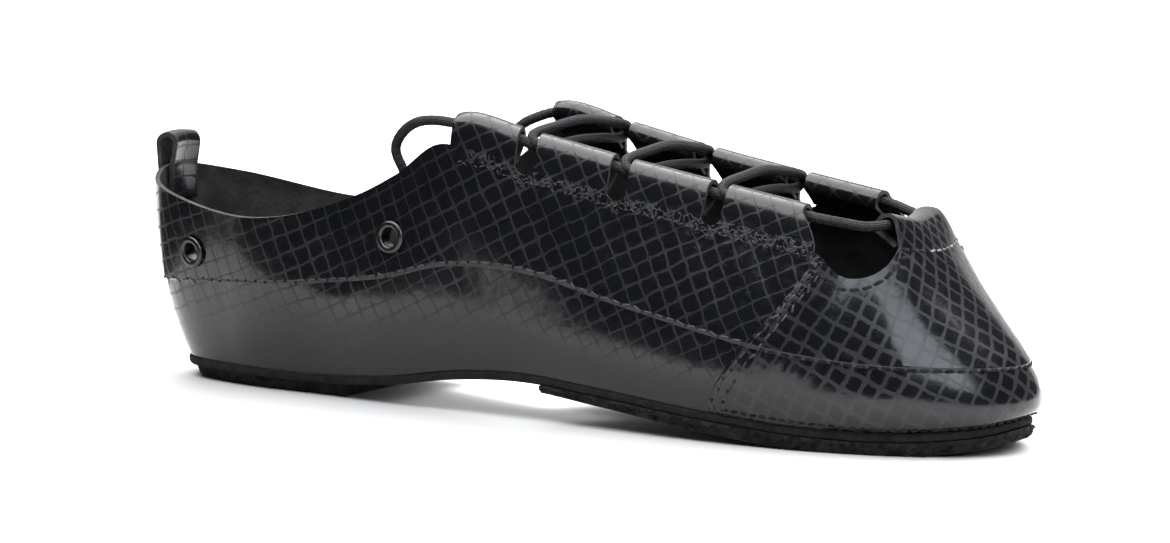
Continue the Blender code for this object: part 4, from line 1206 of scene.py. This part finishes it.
def dark_rows():
    """Black rows on the vamp's lower edge and long seam, beside the cut-outs and under the toe tunnel."""
    place = np.linspace(VAMP_PLACE + DARK_ROW_START, AROUND - VAMP_PLACE - DARK_ROW_START, 400)
    lines = [stitch_line(place, np.full(place.shape, FEATHER_ROW_V), 0.0, FEATHER_WEIGHT),
             stitch_line(place, seam_v(place) + DARK_ROW_RISE)]
    rear = float(place_of_top(TUNNELS[0][1], -1)) + FIRST_TUNNEL_SLANT
    near = np.linspace(rear - 1.0, TOE_END + 1.0, 140)
    for place in (near, AROUND - near):
        height = wall(place, base_v(place))[..., 2] - CUTOUT_ROW_DROP
        lines.append(stitch_line(place, v_of_height(place, height)))
    place = np.linspace(TOE_END - 1.0, TOE - GLINT_PAINT_REACH - 1.0, 40)
    return joined(lines + [stitch_line(place, v_below_top(place, TOE_ROW_DROP))])


def toe_row():
    """The part of the row of stitches under the toe tunnel in pale thread: painted highlight that stands in
    for glints on the thread.
    """
    place = np.linspace(TOE - GLINT_PAINT_REACH, AROUND - TOE_END + 1.0, 70)
    return stitch_line(place, v_below_top(place, TOE_ROW_DROP))


def make_hole_shade(stitches, material):
    """Painted shade of the needle holes: small dark discs on the skin between the stitches, in one mesh."""
    spots, along, normal, weight = stitches
    angle = 2 * math.pi * np.arange(HOLE_SIDES) / HOLE_SIDES
    across = unit(np.cross(normal, along))
    rim = (np.cos(angle)[:, None] * along[:, None] + np.sin(angle)[:, None] * across[:, None])
    rim = rim * (HOLE_RADIUS * weight)[:, None, None]
    centre = spots + 0.5 * STITCH_PITCH * weight[:, None] * along + (HOLE_LIFT - STITCH_LIFT) * normal
    faces = np.arange(len(centre) * HOLE_SIDES).reshape(-1, HOLE_SIDES)
    add_piece("needle_hole_shade", (centre[:, None] + rim).reshape(-1, 3), faces, [material])


def make_stitches(name, stitches, material, bold=1.0):
    """Every stitch as a rounded thread that dips into the leather at both ends, in one mesh."""
    spots, along, normal, weight = stitches
    across = bold * weight[:, None] * unit(np.cross(normal, along))
    count = len(spots)
    ends = np.linspace(-1.0, 1.0, STITCH_RINGS)[:, None]
    angle = np.linspace(0.0, 2 * math.pi, STITCH_SIDES, endpoint=False)[None]
    thick = np.sqrt(np.clip(1.0 - ends ** 4, TIP_SHARE, 1.0))
    local_x = 0.5 * STITCH_LENGTH * ends + 0.0 * angle
    local_y = 0.5 * STITCH_WIDTH * thick * np.cos(angle)
    local_z = 0.5 * bold * STITCH_HEIGHT * thick * np.sin(angle) - STITCH_DIP * ends ** 2
    size = (weight * CHANCE.uniform(*STITCH_SIZES, count))[:, None, None]
    points = spots[:, None, None] + (size * local_x[None])[..., None] * along[:, None, None]
    points = points + local_y[None, ..., None] * across[:, None, None]
    points = points + local_z[None, ..., None] * normal[:, None, None]
    quads = grid_quads(STITCH_RINGS, STITCH_SIDES, looped=True)[:, (0, 3, 2, 1)]
    faces = (np.arange(count)[:, None, None] * STITCH_RINGS * STITCH_SIDES + quads[None]).reshape(-1, 4)
    add_piece(name, points.reshape(-1, 3), faces, [material], (), STITCH_SHARP)


# Materials
class Graph:
    """Node graph of one material, built from small steps."""

    def __init__(self, name):
        self.material = bpy.data.materials.new(name)
        self.material.use_nodes = True
        self.tree = self.material.node_tree
        self.shader = self.tree.nodes["Principled BSDF"]

    def put(self, socket, value):
        if isinstance(value, bpy.types.NodeSocket):
            self.tree.links.new(value, socket)
        else:
            socket.default_value = value

    def node(self, kind, inputs=None, **settings):
        made = self.tree.nodes.new(kind)
        for key, value in settings.items():
            setattr(made, key, value)
        for key, value in (inputs or {}).items():
            self.put(made.inputs[key], value)
        return made

    def math(self, operation, *values):
        return self.node("ShaderNodeMath", dict(enumerate(values)), operation=operation).outputs[0]

    def vector(self, operation, *values):
        """Vector arithmetic; a dot product gives its one value."""
        made = self.node("ShaderNodeVectorMath", dict(enumerate(values)), operation=operation)
        return made.outputs["Value" if operation == "DOT_PRODUCT" else "Vector"]

    def times(self, first, second):
        return self.math("MULTIPLY", first, second)

    def plus(self, first, second):
        return self.math("ADD", first, second)

    def scaled(self, value, factor, offset):
        return self.math("MULTIPLY_ADD", value, factor, offset)

    def where(self):
        return self.node("ShaderNodeTexCoord").outputs["Object"]

    def lattice(self):
        return self.node("ShaderNodeUVMap", uv_map="lattice").outputs["UV"]

    def parts(self, vector):
        return self.node("ShaderNodeSeparateXYZ", {0: vector}).outputs

    def ramp(self, value, low, high, first, last):
        """Smooth change from first to last while the value goes from low to high."""
        inputs = {"Value": value, "From Min": low, "From Max": high, "To Min": first, "To Max": last}
        return self.node("ShaderNodeMapRange", inputs, interpolation_type="SMOOTHSTEP").outputs["Result"]

    def noise(self, scale, detail, vector=None, output="Fac"):
        inputs = {"Scale": scale, "Detail": detail}
        if vector is not None:
            inputs["Vector"] = vector
        return self.node("ShaderNodeTexNoise", inputs).outputs[output]

    def mix(self, factor, first, last):
        made = self.node("ShaderNodeMix", data_type="RGBA")
        for socket, value in zip((made.inputs[0], made.inputs[6], made.inputs[7]), (factor, first, last)):
            self.put(socket, value)
        return made.outputs[2]

    def bump(self, height, distance, strength=1.0, normal=None):
        inputs = {"Height": height, "Distance": distance, "Strength": strength}
        if normal is not None:
            inputs["Normal"] = normal
        return self.node("ShaderNodeBump", inputs).outputs["Normal"]

    def finish(self, **inputs):
        for name, value in inputs.items():
            self.put(self.shader.inputs[name.replace("_", " ")], value)
        return self.material


def grey(level, tint=1.0):
    return (level, level, level * tint, 1.0)


# Scale print: sizes count in scales on the lattice, fineness in noise waves per lattice unit or metre
LATTICE_DRIFT = ((0.55, (0.42, 0.42, 0.0)), (2.6, (0.14, 0.14, 0.0)))
WRINKLE_FINENESS = 3.4
WRINKLE_DRIFT = 0.4
SCALE_POWER = 7.0
SCALE_RIM = (0.84, 0.95)
WORN_RIM = (-0.04, 0.05)
WEAR_FINENESS = 70.0
RAGGED_RIM = 0.08
RAGGED_FINENESS = 900.0
VAMP_SHRINK = 0.11
RIDGE_FINENESS = 620.0
RIDGE_WIDTH = 0.05
GRAIN_FINENESS = 2200.0
GRAIN_SHARE = 0.3
GRAIN_DEPTH = 0.00012
SCALE_DOME = 0.25
SCALE_TILT = 0.25
PEBBLE_FINENESS = 260.0
PEBBLE_SHARE = 0.9
COAT_DEPTH = 0.00010
SMEAR_FINENESS = 120.0
SMEAR_ROUGHNESS = 0.05
LINE_ROUGHNESS = 0.40
VAMP_LINE_ROUGHNESS = 0.30
STRETCHED_ROUGHNESS = 0.19
SCALE_ROUGHNESS = 0.14
WRINKLED_COAT = 0.6
SCALE_COLOUR = (0.0034, 0.0039, 0.0050, 1.0)
QUARTER_LINES = (grey(0.003, 1.2), grey(0.006, 1.15))
VAMP_LINES = (grey(0.010, 1.15), grey(0.018, 1.1))
# Lighter line colour where stitching wrinkles the leather: painted highlight of the gathers catching light
WRINKLE_HIGHLIGHT_LINES = grey(0.024, 1.1)
FIBRE_FINENESS = 6.0
CORD_TURNS = 8
CORD_LAYS = 3
DUST_FINENESS = 900.0


def scale_leather():
    """Black leather with glossy rounded scales between rougher grey lines, under a clear finish."""
    graph = Graph("scale_leather")
    lattice = graph.lattice()
    where = graph.where()
    # Wear map from the mesh: its wrinkled part also sets the painted highlight on lines and ridges
    crinkle_and_highlight = graph.node("ShaderNodeAttribute", attribute_name="wear").outputs["Fac"]
    wrinkled_and_highlight = graph.math("MAXIMUM", crinkle_and_highlight, 0.0)
    stretched = graph.math("MAXIMUM", graph.times(crinkle_and_highlight, -1.0), 0.0)
    spot = lattice
    for fineness, reach in (*LATTICE_DRIFT, (WRINKLE_FINENESS, graph.times(wrinkled_and_highlight, WRINKLE_DRIFT))):
        drift = graph.vector("SUBTRACT", graph.noise(fineness, 2.0, lattice, "Color"), (0.5, 0.5, 0.5))
        spot = graph.vector("ADD", spot, graph.vector("MULTIPLY", drift, reach))
    cell = graph.node("ShaderNodeTexWhiteNoise", {"Vector": graph.vector("FLOOR", spot)},
                      noise_dimensions="3D").outputs["Color"]
    local = graph.vector("MULTIPLY_ADD", graph.vector("FRACTION", spot), (2.0, 2.0, 0.0), (-1.0, -1.0, 0.0))
    tilt = graph.vector("DOT_PRODUCT", graph.vector("SUBTRACT", cell, (0.5, 0.5, 0.0)), local)
    sides = graph.parts(graph.vector("ABSOLUTE", local))
    corner = graph.plus(*(graph.math("POWER", side, SCALE_POWER) for side in sides[:2]))
    reach = graph.math("POWER", corner, 1.0 / SCALE_POWER)
    wear = graph.noise(WEAR_FINENESS, 4.0, where)
    ragged = graph.scaled(graph.noise(RAGGED_FINENESS, 2.0, where), 2 * RAGGED_RIM, -RAGGED_RIM)
    reach = graph.plus(reach, graph.plus(ragged, graph.ramp(wear, 0.3, 0.7, *WORN_RIM)))
    vamp = graph.ramp(graph.parts(lattice)[0], 0.4 * VAMP_LATTICE, 0.6 * VAMP_LATTICE, 0.0, 1.0)
    reach = graph.scaled(vamp, VAMP_SHRINK, reach)
    scale = graph.ramp(reach, *SCALE_RIM, 1.0, 0.0)
    # Crinkle ridges: bumps that are also painted in the line colour, a painted highlight where the gathers
    # catch light
    ridge = graph.math("ABSOLUTE", graph.math("SUBTRACT", graph.noise(RIDGE_FINENESS, 2.0, where), 0.5))
    ridge = graph.ramp(ridge, 0.0, RIDGE_WIDTH, 1.0, 0.0)
    ridge = graph.times(ridge, graph.ramp(wrinkled_and_highlight, 0.2, 0.8, 0.0, 1.0))
    scale = graph.times(scale, graph.math("SUBTRACT", 1.0, ridge))
    faded = graph.ramp(wear, 0.3, 0.7, 0.0, 1.0)
    line = graph.mix(vamp, graph.mix(faded, *QUARTER_LINES), graph.mix(faded, *VAMP_LINES))
    # Lighter lines on wrinkled leather: painted highlight
    line = graph.mix(graph.ramp(wrinkled_and_highlight, 0.1, 0.9, 0.0, 1.0), line, WRINKLE_HIGHLIGHT_LINES)
    dome = graph.times(scale, graph.scaled(reach, -SCALE_DOME, 1.0))
    fine = graph.times(graph.noise(GRAIN_FINENESS, 3.0, where), GRAIN_SHARE)
    height = graph.plus(graph.plus(dome, ridge), fine)
    smear = graph.ramp(graph.noise(SMEAR_FINENESS, 4.0, where), 0.3, 0.75, 0.0, SMEAR_ROUGHNESS)
    rough = graph.scaled(vamp, VAMP_LINE_ROUGHNESS - LINE_ROUGHNESS, LINE_ROUGHNESS)
    for share, level in ((stretched, STRETCHED_ROUGHNESS), (scale, SCALE_ROUGHNESS)):
        rough = graph.scaled(share, graph.math("SUBTRACT", level, rough), rough)
    pebble = graph.times(graph.noise(PEBBLE_FINENESS, 4.0, where), PEBBLE_SHARE)
    coat_height = graph.plus(graph.scaled(tilt, SCALE_TILT, pebble), ridge)
    return graph.finish(Base_Color=graph.mix(scale, line, SCALE_COLOUR), Roughness=0.42,
                        Normal=graph.bump(height, GRAIN_DEPTH),
                        Specular_IOR_Level=0.03, Specular_Tint=(0.9, 0.96, 1.0, 1.0),
                        Coat_Weight=graph.ramp(wrinkled_and_highlight, 0.1, 0.9, 1.0, WRINKLED_COAT),
                        Coat_Roughness=graph.plus(smear, rough), Coat_IOR=1.5,
                        Coat_Normal=graph.bump(coat_height, COAT_DEPTH, 0.8))


def plain_material(name, tones, roughness, scale, bump, tint=1.0, **more):
    """Two-tone fibrous or grained surface."""
    graph = Graph(name)
    coarse = graph.ramp(graph.noise(scale, 4.0, graph.where()), 0.3, 0.7, 0.0, 1.0)
    fine = graph.noise(scale * FIBRE_FINENESS, 3.0, graph.where())
    return graph.finish(Base_Color=graph.mix(coarse, *(grey(tone, tint) for tone in tones)),
                        Roughness=graph.ramp(fine, 0.2, 0.8, *roughness),
                        Normal=graph.bump(fine, bump), **more)


def cord_material():
    """Waxed braid: dark crossing strands."""
    graph = Graph("waxed_braid")
    turns = graph.parts(graph.lattice())
    around = graph.times(turns[0], 2 * math.pi * CORD_TURNS)
    along = graph.times(turns[1], 2 * math.pi * CORD_LAYS)
    strands = graph.times(graph.math("SINE", graph.plus(around, along)),
                          graph.math("SINE", graph.math("SUBTRACT", around, along)))
    dusty = graph.ramp(graph.noise(DUST_FINENESS, 3.0, graph.where()), 0.35, 0.75, 0.0, 1.0)
    return graph.finish(Base_Color=graph.mix(dusty, grey(0.006, 1.2), grey(0.015, 1.2)), Roughness=0.5,
                        Normal=graph.bump(strands, 0.0001), Specular_IOR_Level=0.35)


# Camera, floor and lights
CAMERA_AT = np.array((638.84, -998.00, 161.66))
CAMERA_FORWARD = unit(np.array((-0.47819, 0.87085, -0.11383)))
CAMERA_ROLL = -0.026554
CAMERA_PAN = math.radians(1.3)
CAMERA_LENS = 141.96
CAMERA_SENSOR = 36.0
CAMERA_RANGE = (0.05, 60.0)


def place_facing(thing, right, upward, ahead, at):
    """Links a camera or light, set at a point and looking ahead."""
    matrix = Matrix(np.column_stack((right, upward, -ahead)).tolist()).to_4x4()
    matrix.translation = at
    thing.matrix_world = matrix
    bpy.context.scene.collection.objects.link(thing)


def make_camera():
    """Camera at the photograph's angle to the shoe, turned a little to centre it."""
    level = unit(np.cross(CAMERA_FORWARD, UP))
    upright = np.cross(level, CAMERA_FORWARD)
    right = math.cos(CAMERA_ROLL) * level - math.sin(CAMERA_ROLL) * upright
    upward = math.sin(CAMERA_ROLL) * level + math.cos(CAMERA_ROLL) * upright
    ahead = math.cos(CAMERA_PAN) * CAMERA_FORWARD + math.sin(CAMERA_PAN) * right
    data = bpy.data.cameras.new("photo_camera")
    data.sensor_fit = "HORIZONTAL"
    data.sensor_width = CAMERA_SENSOR
    data.lens = CAMERA_LENS
    data.clip_start, data.clip_end = CAMERA_RANGE
    camera = bpy.data.objects.new("photo_camera", data)
    place_facing(camera, np.cross(ahead, upward), upward, ahead, to_row(CAMERA_AT))
    bpy.context.scene.camera = camera


FLOOR_WIDE = 7.0
FLOOR_NEAR = -7.0
FLOOR_FAR = 9.0
FLOOR_FINENESS = 14.0
FLOOR_TONES = (grey(0.52), grey(0.54))
FLOOR_SPLIT = ((-FLOOR_WIDE, 0.10), (-0.20, 0.10), (-0.20, -0.108), (-0.051, -0.108), (-0.145, -0.32),
               (FLOOR_WIDE, -0.32))


def make_floor():
    """Pale floor; the part in front of the heel and far ahead is not mirrored in the leather."""
    graph = Graph("pale_floor")
    tone = graph.mix(graph.noise(FLOOR_FINENESS, 3.0, graph.where()), *FLOOR_TONES)
    material = graph.finish(Base_Color=tone, Roughness=0.7, Specular_IOR_Level=0.2)
    for name, end in (("floor", FLOOR_FAR), ("floor_front", FLOOR_NEAR)):
        data = bpy.data.meshes.new(name)
        corners = FLOOR_SPLIT + ((FLOOR_WIDE, end), (-FLOOR_WIDE, end))
        corners = corners if end > 0.0 else corners[::-1]
        data.from_pydata([(*corner, 0.0) for corner in corners], [], [range(len(corners))])
        data.materials.append(material)
        floor = bpy.data.objects.new(name, data)
        floor.visible_glossy = floor.visible_diffuse = name == "floor"
        bpy.context.scene.collection.objects.link(floor)


# Lights, in row metres: a large soft box overhead, two washes behind for the white ground, a box for
# the toe, a card that only mirrors see and two small lights on the floor under the arch
Light = namedtuple("Light", "name at aim size power mirrored spread colour",
                   defaults=(True, True, (1.0, 1.0, 1.0)))
LIGHTS = (
    Light("overhead", (-0.25, 0.025, 1.25), (-0.25, 0.025, 0.0), (2.0, 2.35), 75.0),
    Light("back_wash", (0.0, 3.2, 2.4), (0.0, 3.4, 0.0), (6.0, 3.0), 600.0, False),
    Light("low_back", (0.0, 1.5, 0.40), (0.0, 0.0, 0.0), (3.0, 0.7), 40.0, False),
    Light("toe_box", (0.84, -0.54, 0.66), (0.10, -0.02, 0.03), (0.85, 0.55), 7.0, colour=(0.86, 0.92, 1.0)),
    Light("back_card", (-0.65, 1.6, 0.6), (-0.65, 0.0, 0.6), (1.7, 1.2), 5.1, True, False),
    Light("arch_glow", (-0.0212, 0.0143, 0.0048), (-0.0212, 0.0143, 0.0), (0.05, 0.03), 0.018, False),
    Light("arch_fill", (-0.0162, -0.0157, 0.0048), (-0.0162, -0.0157, 0.0), (0.06, 0.03), 0.0035, False),
)
LIGHT_UP = (0.02, 0.05, 1.0)
WORLD_COLOUR = (0.9, 0.95, 1.0, 1.0)
WORLD_STRENGTH = 0.035


def make_lights():
    """The soft lights of the set, each aimed at a point, and a faint even world."""
    for lamp in LIGHTS:
        data = bpy.data.lights.new(lamp.name, "AREA")
        data.shape = "RECTANGLE"
        data.size, data.size_y = lamp.size
        data.energy = lamp.power
        data.color = lamp.colour
        light = bpy.data.objects.new(lamp.name, data)
        light.visible_glossy = lamp.mirrored
        light.visible_diffuse = lamp.spread
        light.visible_camera = False
        ahead = unit(np.array(lamp.aim) - np.array(lamp.at))
        side = unit(np.cross(ahead, LIGHT_UP))
        place_facing(light, side, np.cross(side, ahead), ahead, lamp.at)
    world = bpy.data.worlds.new("studio")
    bpy.context.scene.world = world
    world.use_nodes = True
    inputs = world.node_tree.nodes["Background"].inputs
    inputs["Color"].default_value = WORLD_COLOUR
    inputs["Strength"].default_value = WORLD_STRENGTH
    bpy.context.scene.view_settings.view_transform = "Standard"


def main():
    leather = scale_leather()
    lining = plain_material("dark_lining", (0.010, 0.024), (0.5, 0.8), 160.0, 0.0002, Specular_IOR_Level=0.15)
    edge = plain_material("cut_edge", (0.010, 0.034), (0.6, 0.9), 500.0, 0.0002)
    board = plain_material("board_leather", (0.003, 0.010), (0.7, 0.95), 240.0, 0.0003,
                           Specular_IOR_Level=0.25)
    suede = plain_material("black_suede", (0.003, 0.022), (0.9, 1.0), 420.0, 0.0006,
                           Specular_IOR_Level=0.15, Sheen_Weight=0.04, Sheen_Roughness=0.5)
    metal = plain_material("black_metal", (0.05, 0.09), (0.25, 0.4), 90.0, 0.00003, Metallic=1.0)
    thread = plain_material("thread", (0.014, 0.04), (0.4, 0.6), 300.0, 0.0001, 1.15)
    # Pale thread: painted highlight standing in for glints on the toe row's stitches
    glint_painted_thread = plain_material("glint_painted_thread", (0.07, 0.24), (0.35, 0.5), 200.0, 0.0001)
    make_upper([leather, lining, edge])
    make_under_pieces(board, suede, lining)
    make_heel_loop([leather, lining, edge])
    make_eyelets(metal)
    make_laces(cord_material())
    stitches, toe_glint_stitches = stitch_lines(), toe_row()
    make_stitches("seam_stitches", stitches, thread)
    make_stitches("toe_glint_stitches", toe_glint_stitches, glint_painted_thread)
    make_stitches("dark_stitches", dark_rows(), suede, DARK_BOLD)
    # Dark discs as painted shade in the needle holes
    make_hole_shade(joined((stitches, toe_glint_stitches)), suede)
    make_camera()
    make_floor()
    make_lights()


main()
